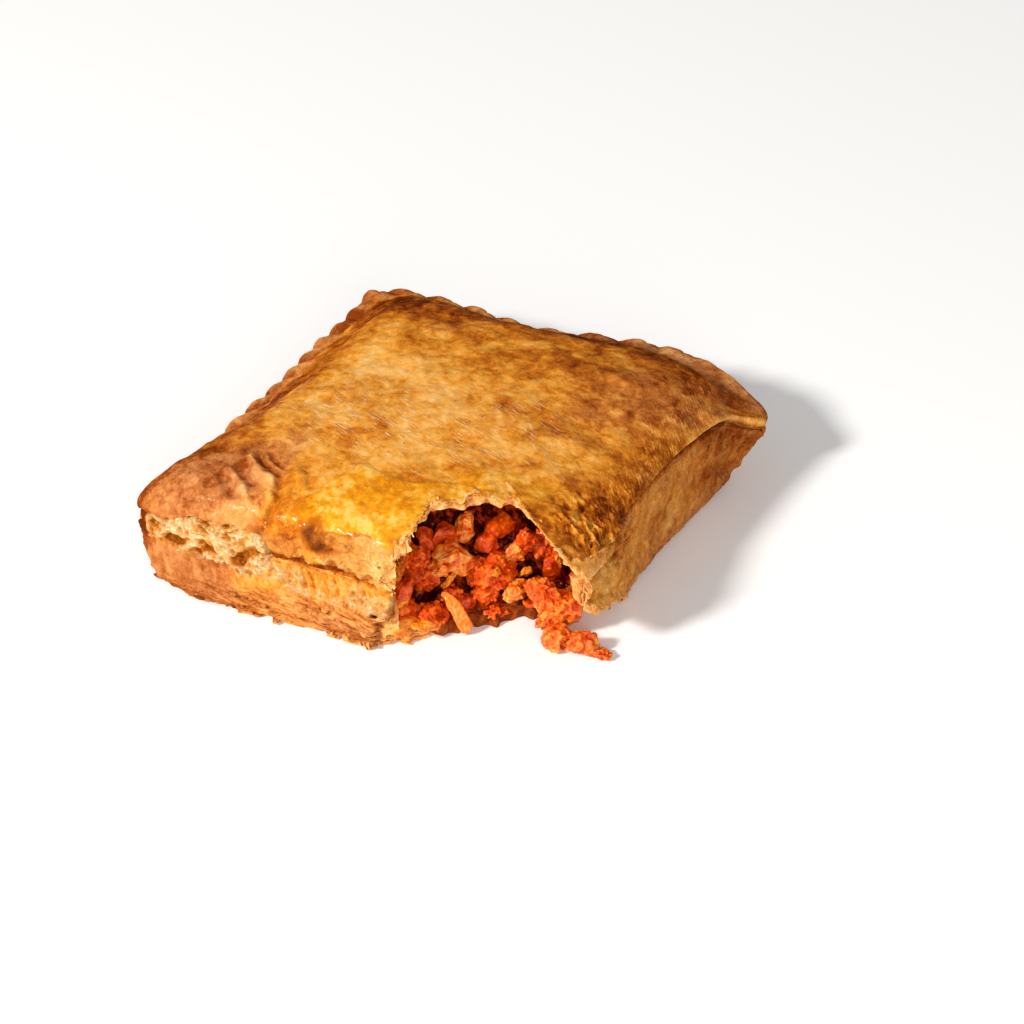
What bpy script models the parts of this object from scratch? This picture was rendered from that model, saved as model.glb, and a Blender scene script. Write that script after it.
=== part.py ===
"""A square puff pastry pasty with one corner torn off, so that its filling shows.

Two sheets of pastry make the case: a flat-bottomed tray and a domed lid, which meet at a seam. The
west (-X) and north (+Y) sides are crimped into a scalloped flange, the south (-Y) and east (+X) sides
are plain walls, and the torn corner is the south-east one. The filling runs right through the inside
and ends in a lumpy face at the tear. One lump hangs out over the table, and another lies against it.
Metres, +Z up, standing on Z = 0 under the middle of its box.
"""

import math

import bmesh
import bpy
from mathutils import Euler, Vector, noise

MM = 0.001

# Sizes below are in millimetres. A place on the outline is the number of sides walked anticlockwise
# from the torn corner: east 0 to 1, north 1 to 2, west 2 to 3, south 3 to 4.
BOX_MIDDLE = (-0.44, -0.86)  # middle of the finished box in the plan below, which the origin goes under
GAP = 0.3  # clear space between touching pieces
CROWN = 36.5  # top of the lid at its middle
FLOOR = 3.2  # thickness of the tray's floor
SEAM_LINE = (  # place, x, y
    (0.00, 55.5, -62.5),
    (0.50, 54.0, -5.0),
    (0.88, 57.6, 40.0),
    (1.00, 64.0, 52.0),
    (1.10, 53.5, 60.0),
    (1.35, 24.0, 65.4),
    (1.60, -10.0, 60.4),
    (1.80, -35.0, 62.6),
    (2.00, -59.6, 59.0),
    (2.10, -60.2, 46.0),
    (2.50, -60.8, 0.0),
    (2.90, -62.4, -51.0),
    (3.00, -62.8, -63.0),
    (3.50, -3.0, -61.6),
)
SEAM_HEIGHT = (  # place, z
    (0.00, 21.0),
    (0.20, 25.0),
    (0.85, 24.0),
    (1.00, 16.5),
    (1.20, 22.0),
    (1.50, 20.5),
    (2.00, 19.5),
    (2.50, 18.5),
    (2.80, 17.0),
    (3.00, 18.0),
    (3.20, 17.0),
    (3.80, 17.0),
)
# The level square that the crown of the lid evens out to, inside the wavy seam line.
SQUARE_MIDDLE = (-3.8, 0.0)
SQUARE_HALF = (58.0, 61.5)
SQUARE_HEIGHT = 20.5
SIDES = ("plain east", "crimped", "crimped", "plain south")
CORNER_SHARE = (0.5, 0.5, 0.5, 0.8)  # how much a corner takes after the side that starts in it
CRIMPS = (0, 11, 13, 0)  # lobes pressed into each side
COLUMNS_PER_CRIMP = 4
PLAIN_COLUMNS = 18
CRIMP_FADE = 0.45  # part of a side over which the crimps grow from the north-east and south-west tips
NOTCH = 2.0  # depth of the notch between two crimps
FLUTE = 0.9  # depth of the groove that runs in from each notch
NOTCH_FADE = (1.0, 1.0, 0.6, 0.3)  # how strongly the notches show, level by level in from the rim

# A wall's section, as (inset from the seam line, share of the height between the seam and the crown,
# or for the tray between the seam and its lowest level), starting at the seam. Evenness is how far a
# level leaves the wavy seam line for the square, and corner the part of a side over which one kind of
# wall turns into the next.
SECTIONS = {
    "lid outside": {
        "crimped": (
            (0.3, 0), (0, 0.12), (4.5, 0.2), (8.5, 0.24),
            (11, 0.5), (16, 0.72), (25, 0.86), (37, 0.95),
        ),
        "plain south": (
            (1.2, 0), (0.2, 0.14), (0.2, 0.35), (1, 0.52),
            (3.5, 0.66), (9, 0.78), (20, 0.88), (34, 0.96),
        ),
        "plain east": (
            (1.4, 0), (0.3, 0.1), (0.8, 0.2), (2, 0.32),
            (4.5, 0.46), (9, 0.64), (20, 0.84), (34, 0.95),
        ),
        "roundness": (60, 60, 40, 22, 13, 8, 5.5, 4.5),
        "evenness": (0, 0, 0.1, 0.2, 0.4, 0.7, 1, 1),
        "corner": (0.09, 0.2, 0.4, 0.4, 0.4, 0.4, 0.4, 0.4),
    },
    "lid inside": {
        "crimped": ((11.5, 0), (14, 0.35), (20, 0.58), (34, 0.72)),
        "plain south": ((6.5, 0), (7, 0.36), (11, 0.6), (32, 0.78)),
        "plain east": ((6.5, 0), (8.5, 0.14), (14, 0.4), (32, 0.64)),
        "roundness": (10, 8, 6, 4.5),
        "evenness": (0.3, 0.5, 0.8, 1),
        "corner": (0.1, 0.15, 0.25, 0.4),
    },
    "tray outside": {
        "crimped": ((0.3, 0), (0.2, 0.1), (2.5, 0.2), (5, 0.32), (7, 0.6), (8.5, 0.88), (10.5, 1)),
        "plain south": (
            (1.2, 0), (0.2, 0.15), (-0.6, 0.35), (-2.2, 0.6),
            (-3.6, 0.8), (-3.8, 0.93), (-2.4, 1),
        ),
        "plain east": ((1.4, 0), (0.2, 0.12), (-0.5, 0.35), (-0.6, 0.6), (-0.4, 0.82), (0.2, 0.95), (2, 1)),
        "roundness": (60, 60, 50, 26, 11, 7, 6),
        "evenness": (0, 0, 0.1, 0.2, 0.2, 0.2, 0.2),
        "corner": (0.09, 0.09, 0.09, 0.1, 0.1, 0.1, 0.1),
    },
    "tray inside": {
        "crimped": ((11.5, 0), (12.5, 0.5), (15, 0.9), (22, 1)),
        "plain south": ((6.5, 0), (6, 0.5), (7, 0.9), (14, 1)),
        "plain east": ((6.5, 0), (6.3, 0.5), (7.5, 0.9), (14, 1)),
        "roundness": (10, 10, 9, 8),
        "evenness": (0.3, 0.3, 0.3, 0.5),
        "corner": (0.1, 0.1, 0.1, 0.15),
    },
}
FILLING_SLACK = 1.2  # clear space between the filling's core and the pastry round it
FILLING_STEP = 3  # the filling takes every third column

# The tear is measured along its own line, north-east from the middle of the corner, and out from the
# middle of the pasty towards the corner.
TEAR_FOOT = 51.4  # how far out the tray's floor reaches
TEAR_LIP = 41.0  # how far out the lid reaches at the middle of the tear
TEAR_SPAN = 72.0
TEAR_TOP = 45.0
TEAR_LEVELS = 13
TEAR_COLUMNS = 44
CORNER_REACH = 125.0  # beyond anything that is torn away
FACE_FOOT = 46.5  # how far out the filling's own face is at the floor
FACE_TOP = 34.0  # and at the height of the crown

FACE_LUMPS = (  # along the tear, height, how far out of the face, radius
    (-30.0, 13.5, 0.0, 5.2),
    (-26.0, 8.8, 1.0, 4.8),
    (-19.6, 21.0, 0.5, 5.6),
    (-17.0, 15.5, 1.5, 6.2),
    (-18.4, 8.6, 0.5, 4.8),
    (-12.0, 20.0, 0.5, 5.8),
    (-7.0, 16.0, -0.5, 5.6),
    (-5.5, 10.2, 1.0, 6.4),
    (-0.5, 15.0, 1.0, 6.0),
    (-2.0, 21.0, -1.5, 5.4),
    (3.0, 9.6, 2.5, 5.8),
    (6.5, 17.0, 0.0, 5.2),
    (9.0, 10.5, -1.0, 4.8),
)
LINK_LUMP = {"centre": (39.0, -36.0, 9.3), "radii": (5.6, 6.0, 5.2), "turn": 0.4}
HANGING_LUMP = {"centre": (44.2, -37.6, 9.3), "radii": (6.2, 6.0, 6.4), "turn": 0.3}
FALLEN_LUMP = {"centre": (52.0, -42.4, 3.7), "radii": (9.8, 5.4, 3.9), "turn": 0.45}
LUMP_ROUGHNESS = 0.14  # of a lump's radius
SEAT_CLEARANCE = 0.45
TABLE_SLAB = 30.0  # a block under the table's top, which cuts the fallen lump flat

MATERIALS = {  # base colour, roughness
    "pastry_lid": ((0.60, 0.27, 0.07), 0.35),
    "pastry_base": ((0.66, 0.38, 0.15), 0.6),
    "filling": ((0.55, 0.09, 0.02), 0.25),
    "filling_lump": ((0.60, 0.13, 0.03), 0.3),
}


def ease(share):
    share = min(max(share, 0.0), 1.0)
    return share * share * (3 - 2 * share)


def mix(a, b, share):
    return a + (b - a) * share


def along_loop(knots, place):
    """Smooth closed curve through the knots, each a place followed by its values."""
    count = len(knots)
    k = max(i for i in range(count) if knots[i][0] <= place)
    before, start, end, after = (knots[(k + j) % count] for j in (-1, 0, 1, 2))
    width = (end[0] - start[0]) % 4
    lead = (start[0] - before[0]) % 4
    tail = (after[0] - end[0]) % 4
    share = (place - start[0]) / width
    values = []
    for p, a, b, n in zip(before[1:], start[1:], end[1:], after[1:]):
        slope_a = (b - p) / (width + lead) * width
        slope_b = (n - a) / (width + tail) * width
        values.append(
            (2 * share**3 - 3 * share**2 + 1) * a
            + (share**3 - 2 * share**2 + share) * slope_a
            + (3 * share**2 - 2 * share**3) * b
            + (share**3 - share**2) * slope_b
        )
    return values


def outline_places():
    """Places of the mesh columns: a few to each crimp, and even steps on the plain sides."""
    places = []
    for side, crimps in enumerate(CRIMPS):
        count = crimps * COLUMNS_PER_CRIMP or PLAIN_COLUMNS
        places += [side + k / count for k in range(count)]
    return places


def on_square(place):
    """The place's point on a square that reaches from -1 to 1."""
    side = int(place)
    step = 2 * (place - side) - 1
    return ((1, step), (-step, 1), (-1, -step), (step, -1))[side]


def lobe(place):
    """0 at a notch between two crimps, 1 on a crimp's back and on the plain sides."""
    side = int(place)
    if not CRIMPS[side]:
        return 1.0
    back = abs(math.sin(math.pi * (place - side) * CRIMPS[side])) ** 0.6
    return mix(1.0, back, ease(min(place - 1.0, 3.0 - place) / CRIMP_FADE))


def section_at(section, row, place):
    """A level's inset and share at a place, where each corner blends the walls that meet in it."""
    side = int(place)
    step = place - side
    neighbour = side - 1 if step < 0.5 else side + 1
    corner = round(place) % 4
    in_corner = CORNER_SHARE[corner] if neighbour < side else 1 - CORNER_SHARE[corner]
    own = mix(in_corner, 1.0, ease(min(step, 1 - step) / section["corner"][row]))
    here = section[SIDES[side]][row]
    there = section[SIDES[neighbour % 4]][row]
    return mix(there[0], here[0], own), mix(there[1], here[1], own)


def wall_ring(section, row, far_height, places, seam_drop, slack, flute):
    """One level of a section, as a closed ring of points round the pasty."""
    power = section["roundness"][row]
    evenness = section["evenness"][row]
    notched = NOTCH_FADE[row] if flute and row < len(NOTCH_FADE) else 0.0
    on_rim = row < 2
    ring = []
    for place in places:
        inset, share = section_at(section, row, place)
        across, up = on_square(place)
        x, y = along_loop(SEAM_LINE, place)
        x = mix(x, SQUARE_MIDDLE[0] + across * SQUARE_HALF[0], evenness)
        y = mix(y, SQUARE_MIDDLE[1] + up * SQUARE_HALF[1], evenness)
        seam = mix(along_loop(SEAM_HEIGHT, place)[0], SQUARE_HEIGHT, evenness) - seam_drop
        cut = notched * (1 - lobe(place))
        inset += NOTCH * cut + slack
        rounding = (abs(across) ** power + abs(up) ** power) ** (-1 / power)
        z = mix(seam, far_height, share) - (0.0 if on_rim else flute * cut)
        ring.append(Vector(((x - across * inset) * rounding, (y - up * inset) * rounding, z)) * MM)
    return ring


def section_rings(name, far_height, places, seam_drop=0.0, slack=0.0, flute=0.0):
    section = SECTIONS[name]
    rows = range(len(section["roundness"]))
    return [wall_ring(section, row, far_height, places, seam_drop, slack, flute) for row in rows]


def hub_of(ring, height=None):
    """The point that a fan closes a ring to, at the ring's own top or at a given height."""
    middle = sum(ring, Vector()) / len(ring)
    middle.z = max(point.z for point in ring) if height is None else height * MM
    return middle


def loft(name, rings, collection, hubs=(None, None)):
    """A closed skin over rings of equal size, with each end fanned to its hub or capped flat."""
    mesh = bmesh.new()
    rows = [[mesh.verts.new(point) for point in ring] for ring in rings]
    count = len(rows[0])
    for lower, upper in zip(rows, rows[1:]):
        for k in range(count):
            n = (k + 1) % count
            mesh.faces.new((lower[k], lower[n], upper[n], upper[k]))
    for row, middle in zip((rows[0], rows[-1]), hubs):
        if middle is None:
            mesh.faces.new(row)
            continue
        hub = mesh.verts.new(middle)
        for k in range(count):
            mesh.faces.new((row[k], row[(k + 1) % count], hub))
    bmesh.ops.triangulate(mesh, faces=mesh.faces)
    bmesh.ops.recalc_face_normals(mesh, faces=mesh.faces)
    return add_object(name, mesh, collection)


def add_object(name, mesh, collection):
    data = bpy.data.meshes.new(name)
    mesh.to_mesh(data)
    mesh.free()
    obj = bpy.data.objects.new(name, data)
    obj.location = (-BOX_MIDDLE[0] * MM, -BOX_MIDDLE[1] * MM, 0.0)
    collection.objects.link(obj)
    return obj


def make_lid(places, collection):
    outside = section_rings("lid outside", CROWN, places, flute=FLUTE)
    inside = section_rings("lid inside", CROWN, places)
    hubs = (hub_of(outside[-1], CROWN), hub_of(inside[-1]))
    return loft("pastry_lid", outside[::-1] + inside, collection, hubs)


def make_tray(places, collection):
    outside = section_rings("tray outside", 0.0, places, seam_drop=GAP, flute=-FLUTE)
    inside = section_rings("tray inside", FLOOR, places, seam_drop=GAP)
    hubs = (hub_of(outside[-1], 0.0), hub_of(inside[-1], FLOOR))
    return loft("pastry_base", outside[::-1] + inside, collection, hubs)


def make_filling(places, collection):
    """The core that fills the case, a little clear of the pastry all round."""
    floor = FLOOR + FILLING_SLACK
    above = section_rings("lid inside", CROWN - FILLING_SLACK, places, slack=FILLING_SLACK)
    below = section_rings("tray inside", floor, places, slack=FILLING_SLACK)[1:]
    hubs = (hub_of(above[-1]), hub_of(below[-1], floor))
    return loft("filling", above[::-1] + below, collection, hubs)


def tear_point(along, out, height):
    return Vector((along + out, along - out, height * math.sqrt(2))) * (MM / math.sqrt(2))


def tear_reach(along, height):
    """How far out the pastry reaches at a point along the tear.

    The floor is torn off straight across. The lid is torn back behind it in a hollow that comes out
    again into the south wall, and into the east wall, which leans further out the higher it is.
    """
    reach = mix(TEAR_FOOT, TEAR_LIP, ease(height / 24))
    reach += 10 * ease(height / 24) * ease((-20 - along) / 13)
    east_end = 25 - 16 * (max(height, 0) / 26) ** 0.6
    reach += 34 * ease(height / 18) * ease((along + 3) / (east_end + 3)) ** 1.6
    return reach + 0.9 * math.sin(0.55 * along + 0.3 * height) + 0.6 * math.sin(1.3 * along - 0.5 * height)


def face_reach(along, height):
    """How far out the filling's core reaches."""
    lift = (height - FLOOR) / (CROWN - FLOOR)
    return mix(FACE_FOOT, FACE_TOP, lift) + math.sin(0.5 * along + 0.4 * height)


def make_tear_cutter(name, reach, collection):
    """A block over the torn corner, whose inner side is the surface of the tear."""
    rings = []
    for level in range(TEAR_LEVELS):
        height = mix(-3, TEAR_TOP, level / (TEAR_LEVELS - 1))
        ring = []
        for k in range(TEAR_COLUMNS + 1):
            along = mix(-TEAR_SPAN, TEAR_SPAN, k / TEAR_COLUMNS)
            ring.append(tear_point(along, min(reach(along, height), CORNER_REACH - 5), height))
        ring.append(tear_point(TEAR_SPAN, CORNER_REACH, height))
        ring.append(tear_point(-TEAR_SPAN, CORNER_REACH, height))
        rings.append(ring)
    return hide(loft(name, rings, collection))


def make_lump(name, centre, radii, turn, collection, swell=0.0):
    """A knobbly lump of filling; swell makes it that much bigger all round."""
    mesh = bmesh.new()
    bmesh.ops.create_icosphere(mesh, subdivisions=2, radius=1.0)
    spin = Euler((0.0, 0.0, turn)).to_matrix()
    place = Vector(centre)
    for vert in mesh.verts:
        bump = 1 + LUMP_ROUGHNESS * noise.noise(vert.co * 1.7 + place * 0.31)
        radius = Vector([(r + swell) * bump * c for r, c in zip(radii, vert.co)])
        vert.co = (place + spin @ radius) * MM
    return add_object(name, mesh, collection)


def hide(obj):
    obj.hide_render = True
    obj.display_type = "WIRE"
    return obj


def boolean(obj, cutter, operation):
    modifier = obj.modifiers.new(operation.title(), "BOOLEAN")
    modifier.operation = operation
    modifier.solver = "EXACT"
    if isinstance(cutter, bpy.types.Collection):
        modifier.operand_type = "COLLECTION"
        modifier.collection = cutter
    else:
        modifier.object = cutter


def add_face_lumps(filling, lumps):
    for k, (along, height, proud, radius) in enumerate(FACE_LUMPS):
        centre = tear_point(along, face_reach(along, height) + proud - radius * 0.45, height) / MM
        radii = (radius, radius * 0.9, radius * 0.85)
        hide(make_lump(f"face_lump_{k:02d}", centre, radii, 0.7 * k, lumps))
    for name, lump in (("link_lump", LINK_LUMP), ("hanging_lump", HANGING_LUMP)):
        hide(make_lump(name, lump["centre"], lump["radii"], lump["turn"], lumps))
    boolean(filling, lumps, "UNION")


def make_fallen_lump(collection, cutters):
    """The lump on the table, flat underneath, with a seat pressed in by the lump that hangs on it."""
    lump = make_lump("filling_lump", **FALLEN_LUMP, collection=collection)
    seat = hide(make_lump("lump_seat", **HANGING_LUMP, collection=cutters, swell=SEAT_CLEARANCE))
    slab = bmesh.new()
    bmesh.ops.create_cube(slab, size=TABLE_SLAB * MM)
    x, y, _ = FALLEN_LUMP["centre"]
    bmesh.ops.translate(slab, verts=slab.verts, vec=Vector((x, y, -TABLE_SLAB / 2)) * MM)
    boolean(lump, seat, "DIFFERENCE")
    boolean(lump, hide(add_object("table_slab", slab, cutters)), "DIFFERENCE")
    return lump


def add_material(obj):
    colour, roughness = MATERIALS[obj.name]
    material = bpy.data.materials.new(obj.name)
    material.use_nodes = True
    shader = material.node_tree.nodes["Principled BSDF"]
    shader.inputs["Base Color"].default_value = (*colour, 1.0)
    shader.inputs["Roughness"].default_value = roughness
    shader.inputs["Metallic"].default_value = 0.0
    material.diffuse_color = (*colour, 1.0)
    obj.data.materials.append(material)


def new_collection(name):
    collection = bpy.data.collections.new(name)
    bpy.context.scene.collection.children.link(collection)
    return collection


def main():
    for obj in list(bpy.data.objects):
        bpy.data.objects.remove(obj)
    pasty = new_collection("Pasty")
    cutters = new_collection("Cutters")
    lumps = new_collection("Filling lumps")

    places = outline_places()
    tear = make_tear_cutter("tear", tear_reach, cutters)
    face = make_tear_cutter("filling_face", face_reach, cutters)

    lid = make_lid(places, pasty)
    tray = make_tray(places, pasty)
    boolean(lid, tear, "DIFFERENCE")
    boolean(tray, tear, "DIFFERENCE")

    filling = make_filling(places[::FILLING_STEP], pasty)
    boolean(filling, face, "DIFFERENCE")
    add_face_lumps(filling, lumps)
    fallen = make_fallen_lump(pasty, cutters)
    for obj in (lid, tray, filling, fallen):
        add_material(obj)


main()
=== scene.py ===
import itertools
import math

import bpy
import bmesh
import numpy as np
from mathutils import Euler, Matrix, Vector


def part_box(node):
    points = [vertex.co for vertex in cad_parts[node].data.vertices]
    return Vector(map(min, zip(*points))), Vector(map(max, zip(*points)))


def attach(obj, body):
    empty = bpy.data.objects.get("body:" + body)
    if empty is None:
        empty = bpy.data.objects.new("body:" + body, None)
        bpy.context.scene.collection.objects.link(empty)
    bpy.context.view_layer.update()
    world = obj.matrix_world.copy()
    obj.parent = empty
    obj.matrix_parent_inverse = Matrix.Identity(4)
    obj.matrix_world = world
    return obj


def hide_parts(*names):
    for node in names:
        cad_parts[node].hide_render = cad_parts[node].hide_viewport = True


# Shapes are worked out in millimetres in the pasty's own plan and turned to metres in toFrame.
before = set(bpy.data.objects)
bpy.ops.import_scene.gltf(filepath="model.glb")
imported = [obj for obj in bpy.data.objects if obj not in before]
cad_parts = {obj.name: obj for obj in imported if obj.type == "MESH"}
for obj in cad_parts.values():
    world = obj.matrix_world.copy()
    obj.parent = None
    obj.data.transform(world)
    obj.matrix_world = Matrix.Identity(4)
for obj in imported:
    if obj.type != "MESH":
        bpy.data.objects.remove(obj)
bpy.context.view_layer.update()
print("frame loaded:", sorted(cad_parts))

case = {
    "planMiddle": (-0.44, -0.86),  # the plan point that stands on the frame's middle
    "crown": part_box("pastry_lid")[1][2] * 1000,
    "floor": 3.2,  # of the filling's hollow
    "gap": 0.3,  # between the two sheets of pastry where they meet
    "seamLine": (  # place, x, y; a place counts the sides anticlockwise from the torn corner
        (0, 55.5, -62.5), (0.5, 54, -5), (0.88, 57.6, 40), (1, 64, 52), (1.1, 53.5, 60),
        (1.35, 24, 65.4), (1.6, -10, 60.4), (1.8, -35, 62.6), (2, -59.6, 59), (2.1, -60.2, 46),
        (2.5, -60.8, 0), (2.9, -62.4, -51), (3, -62.8, -63), (3.5, -3, -61.6),
    ),
    "seamHeight": (
        (0, 21), (0.2, 25), (0.85, 24), (1, 16.5), (1.2, 22), (1.5, 20.5), (2, 19.5), (2.5, 18.5),
        (2.8, 17), (3, 18), (3.2, 17), (3.8, 17),
    ),
    "squareMiddle": (-3.8, 0),  # the even square that the rings turn into towards the middle
    "squareHalf": (58, 61.5),
    "squareHeight": 20.5,
    "walls": ("east", "crimped", "crimped", "south"),
    "cornerShare": (0.5, 0.5, 0.5, 0.8),  # how much of each corner belongs to the side after it
    "crimps": (0, 11, 13, 0),
    "crimpFade": 0.45,
    "notch": 1.1,
    "notchFade": (1, 1, 0.6, 0.3),
    "sharpAngle": 48,
}
# Inset from the seam line and share of the height, level by level in from the seam. Roundness is the
# power of each level's ring, evenness how far it turns into the even square, and corner how much of a
# side each corner takes to turn one wall's section into the next one's.
sections = {
    "lidOutside": {
        "crimped": (
            (0.3, 0), (0, 0.12), (4.5, 0.2), (8.5, 0.24), (11, 0.5), (16, 0.72), (25, 0.86), (37, 0.95),
        ),
        "south": (
            (1.2, 0), (0.2, 0.14), (0.2, 0.35), (1, 0.52), (3.5, 0.66), (9, 0.78), (20, 0.88), (34, 0.96),
        ),
        "east": (
            (1.4, 0), (0.3, 0.1), (0.8, 0.2), (2, 0.32), (4.5, 0.46), (9, 0.64), (20, 0.84), (34, 0.95),
        ),
        "roundness": (60, 60, 40, 22, 13, 8, 5.5, 4.5),
        "evenness": (0, 0, 0.1, 0.2, 0.4, 0.7, 1, 1),
        "corner": (0.09, 0.2, 0.4, 0.4, 0.4, 0.4, 0.4, 0.4),
    },
    "lidInside": {
        "crimped": ((11.5, 0), (14, 0.35), (20, 0.58), (34, 0.72)),
        "south": ((6.5, 0), (7, 0.36), (11, 0.6), (32, 0.78)),
        "east": ((6.5, 0), (8.5, 0.14), (14, 0.4), (32, 0.64)),
        "roundness": (10, 8, 6, 4.5),
        "evenness": (0.3, 0.5, 0.8, 1),
        "corner": (0.1, 0.15, 0.25, 0.4),
    },
    "trayOutside": {
        "crimped": ((0.3, 0), (0.2, 0.1), (2.5, 0.2), (5, 0.32), (7, 0.6), (8.5, 0.88), (10.5, 1)),
        "south": ((1.2, 0), (0.2, 0.15), (-0.6, 0.35), (-2.2, 0.6), (-3.6, 0.8), (-3.8, 0.93), (-2.4, 1)),
        "east": ((1.4, 0), (0.2, 0.12), (-0.5, 0.35), (-0.6, 0.6), (-0.4, 0.82), (0.2, 0.95), (2, 1)),
        "roundness": (60, 60, 50, 26, 11, 7, 6),
        "evenness": (0, 0, 0.1, 0.2, 0.2, 0.2, 0.2),
        "corner": (0.09, 0.09, 0.09, 0.1, 0.1, 0.1, 0.1),
    },
    "trayInside": {
        "crimped": ((11.5, 0), (12.5, 0.5), (15, 0.9), (22, 1)),
        "south": ((6.5, 0), (6, 0.5), (7, 0.9), (14, 1)),
        "east": ((6.5, 0), (6.3, 0.5), (7.5, 0.9), (14, 1)),
        "roundness": (10, 10, 9, 8),
        "evenness": (0.3, 0.3, 0.3, 0.5),
        "corner": (0.1, 0.1, 0.1, 0.15),
    },
}
tear = {  # measured along the tear, north-east, and out from the middle towards the torn corner
    "foot": 51.4,
    "lip": 41.0,
    "lipHeight": 24,
    "westReach": 10,  # how much further out the torn edge runs at its west end, and where that starts
    "westStart": -20,
    "westWidth": 13,
    "eastReach": 34,
    "eastStart": -3,
    "eastHeight": 18,
    "eastPower": 1.4,
    "eastFoot": 25,  # where the east end stands on the table, and how far it leans over on its way up
    "eastLean": 18.5,
    "leanHeight": 26,
    "leanPower": 0.6,
    "droop": 2.2,
    "droopHeight": 22,
    "droopRuns": ((-27, 5, 8, 5), (-12, 9, 6, 6)),  # from, to and how wide each end fades
    "ripples": ((0.9, 0.55, 0.3), (0.6, 1.3, -0.5)),  # height, waves along, waves up
    "scoop": 6.0,  # how much further back the thin wall at the left end is torn
    "steepest": 4.0,
    "span": 72.0,
    "low": -3.0,
    "top": 45.0,
    "step": 0.45,
    "cornerReach": 125.0,
    "faceFoot": 46.5,
    "faceTop": 34.0,
}


def ease(share):
    share = np.clip(share, 0.0, 1.0)
    return share * share * (3 - 2 * share)


def mix(a, b, share):
    return a + (b - a) * share


def band(value, middle, width):
    return np.exp(-(((value - middle) / width) ** 2))


def spot(x, y, middle, radii, turn=0.0):  # 1 in the middle of an oval, falling off to 0 round it
    dx, dy = x - middle[0], y - middle[1]
    across = dx * math.cos(turn) + dy * math.sin(turn)
    up = dy * math.cos(turn) - dx * math.sin(turn)
    return np.exp(-((across / radii[0]) ** 2 + (up / radii[1]) ** 2))


def spots(x, y, rows):  # ovals added up, from rows of strength, middle, half sizes and any turn
    return sum(strength * spot(x, y, *oval) for strength, *oval in rows)


def between(value, low, high, lowFade, highFade):  # 0 past two limits, 1 well inside them
    return ease((value - low) / lowFade) * ease((high - value) / highFade)


def softLimit(value, knee, span):  # bends a value over so that it never passes knee + span
    return np.where(value > knee, knee + span * np.tanh((value - knee) / span), value)


def terraces(value, steep=3.0, start=1.0):  # a slope broken into steps
    whole = np.floor(value)
    return whole + ease(steep * (value - whole) - start)


def stepGrooveShade(value):  # 1 in the groove at the foot of each step, where shade is painted into the colour
    return band(value - np.floor(value), 0.42, 0.14)


def hashCell(cell, seed):
    x, y, z = (cell[..., k].astype(np.uint64) for k in range(3))
    mixed = x * 73856093 ^ y * 19349663 ^ z * 83492791 ^ np.uint64(seed * 2654435761 + 97)
    mixed = (mixed ^ (mixed >> 13)) * 1274126177
    mixed = (mixed ^ (mixed >> 16)) * 2246822519
    return mixed ^ (mixed >> 15)


def perlin(points, seed=0):
    cell = np.floor(points).astype(np.int64)
    part = points - cell
    fade = part**3 * (part * (part * 6 - 15) + 10)
    total = np.zeros(points.shape[:-1])
    for corner in itertools.product((0, 1), repeat=3):
        bits = hashCell(cell + corner, seed)
        slope = np.stack([(bits >> shift & 1023) / 511.5 - 1 for shift in (0, 10, 20)], -1)
        weight = np.prod(np.where(corner, fade, 1 - fade), axis=-1)
        total += weight * (slope * (part - corner)).sum(-1)
    return total * 1.5


def fractal(points, size, octaves=4, seed=0, rough=0.5):
    total, weight = 0.0, 1.0
    for octave in range(octaves):
        total = total + weight * perlin(points / size * 2**octave + 17.3 * octave, seed + octave)
        weight *= rough
    return total


def ridged(points, size, octaves=3, seed=0):  # 1 on thin crests, lower between them
    return 1 - 2 * np.abs(fractal(points, size, octaves, seed))


def layers(points, rows):  # noise of several sizes added up, from rows of height, size, octaves and seed
    return sum(height * fractal(points, size, octaves, seed) for height, size, octaves, seed in rows)


def creases(x, y, rows, wander=0.0):  # long folds, each a crest with a groove along one side
    total = 0 * x
    for x0, y0, x1, y1, bend, width, height in rows:
        length = math.hypot(x1 - x0, y1 - y0)
        ux, uy = (x1 - x0) / length, (y1 - y0) / length
        s = ((x - x0) * ux + (y - y0) * uy) / length
        t = (y - y0) * ux - (x - x0) * uy + wander - bend * 4 * s * (1 - s)
        shape = np.exp(-((t / width) ** 2)) - 0.8 * np.exp(-(((t + 1.3 * width) / width) ** 2))
        total = total + height * shape * ease(4 * s + 0.6) * ease(4 * (1 - s) + 0.6)
    return total


def worley(points, seed=0):  # distances to the nearest two of the points scattered one to a cell
    cell = np.floor(points).astype(np.int64)
    near = np.full(points.shape[:-1], 9.0)
    second = near.copy()
    for corner in itertools.product((-1, 0, 1), repeat=3):
        bits = hashCell(cell + corner, seed)
        dot = np.stack([(bits >> shift & 1023) / 1023 for shift in (0, 10, 20)], -1)
        far = np.sqrt(((cell + corner + dot - points) ** 2).sum(-1))
        second = np.minimum(second, np.maximum(near, far))
        near = np.minimum(near, far)
    return near, second


def alongLoop(knots, place):
    knots = np.array(knots, float)
    count = len(knots)
    k = np.searchsorted(knots[:, 0], place, side="right") - 1
    before, start, end, after = (knots[(k + j) % count] for j in (-1, 0, 1, 2))
    width = (end[:, :1] - start[:, :1]) % 4
    lead = (start[:, :1] - before[:, :1]) % 4
    tail = (after[:, :1] - end[:, :1]) % 4
    share = (place[:, None] - start[:, :1]) / width
    slopeA = (end[:, 1:] - before[:, 1:]) / (width + lead) * width
    slopeB = (after[:, 1:] - start[:, 1:]) / (width + tail) * width
    return hermite(start[:, 1:], slopeA, end[:, 1:], slopeB, share)


def hermite(start, slopeA, end, slopeB, share):
    square, cube = share**2, share**3
    return (
        (2 * cube - 3 * square + 1) * start
        + (cube - 2 * square + share) * slopeA
        + (3 * square - 2 * cube) * end
        + (cube - square) * slopeB
    )


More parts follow.
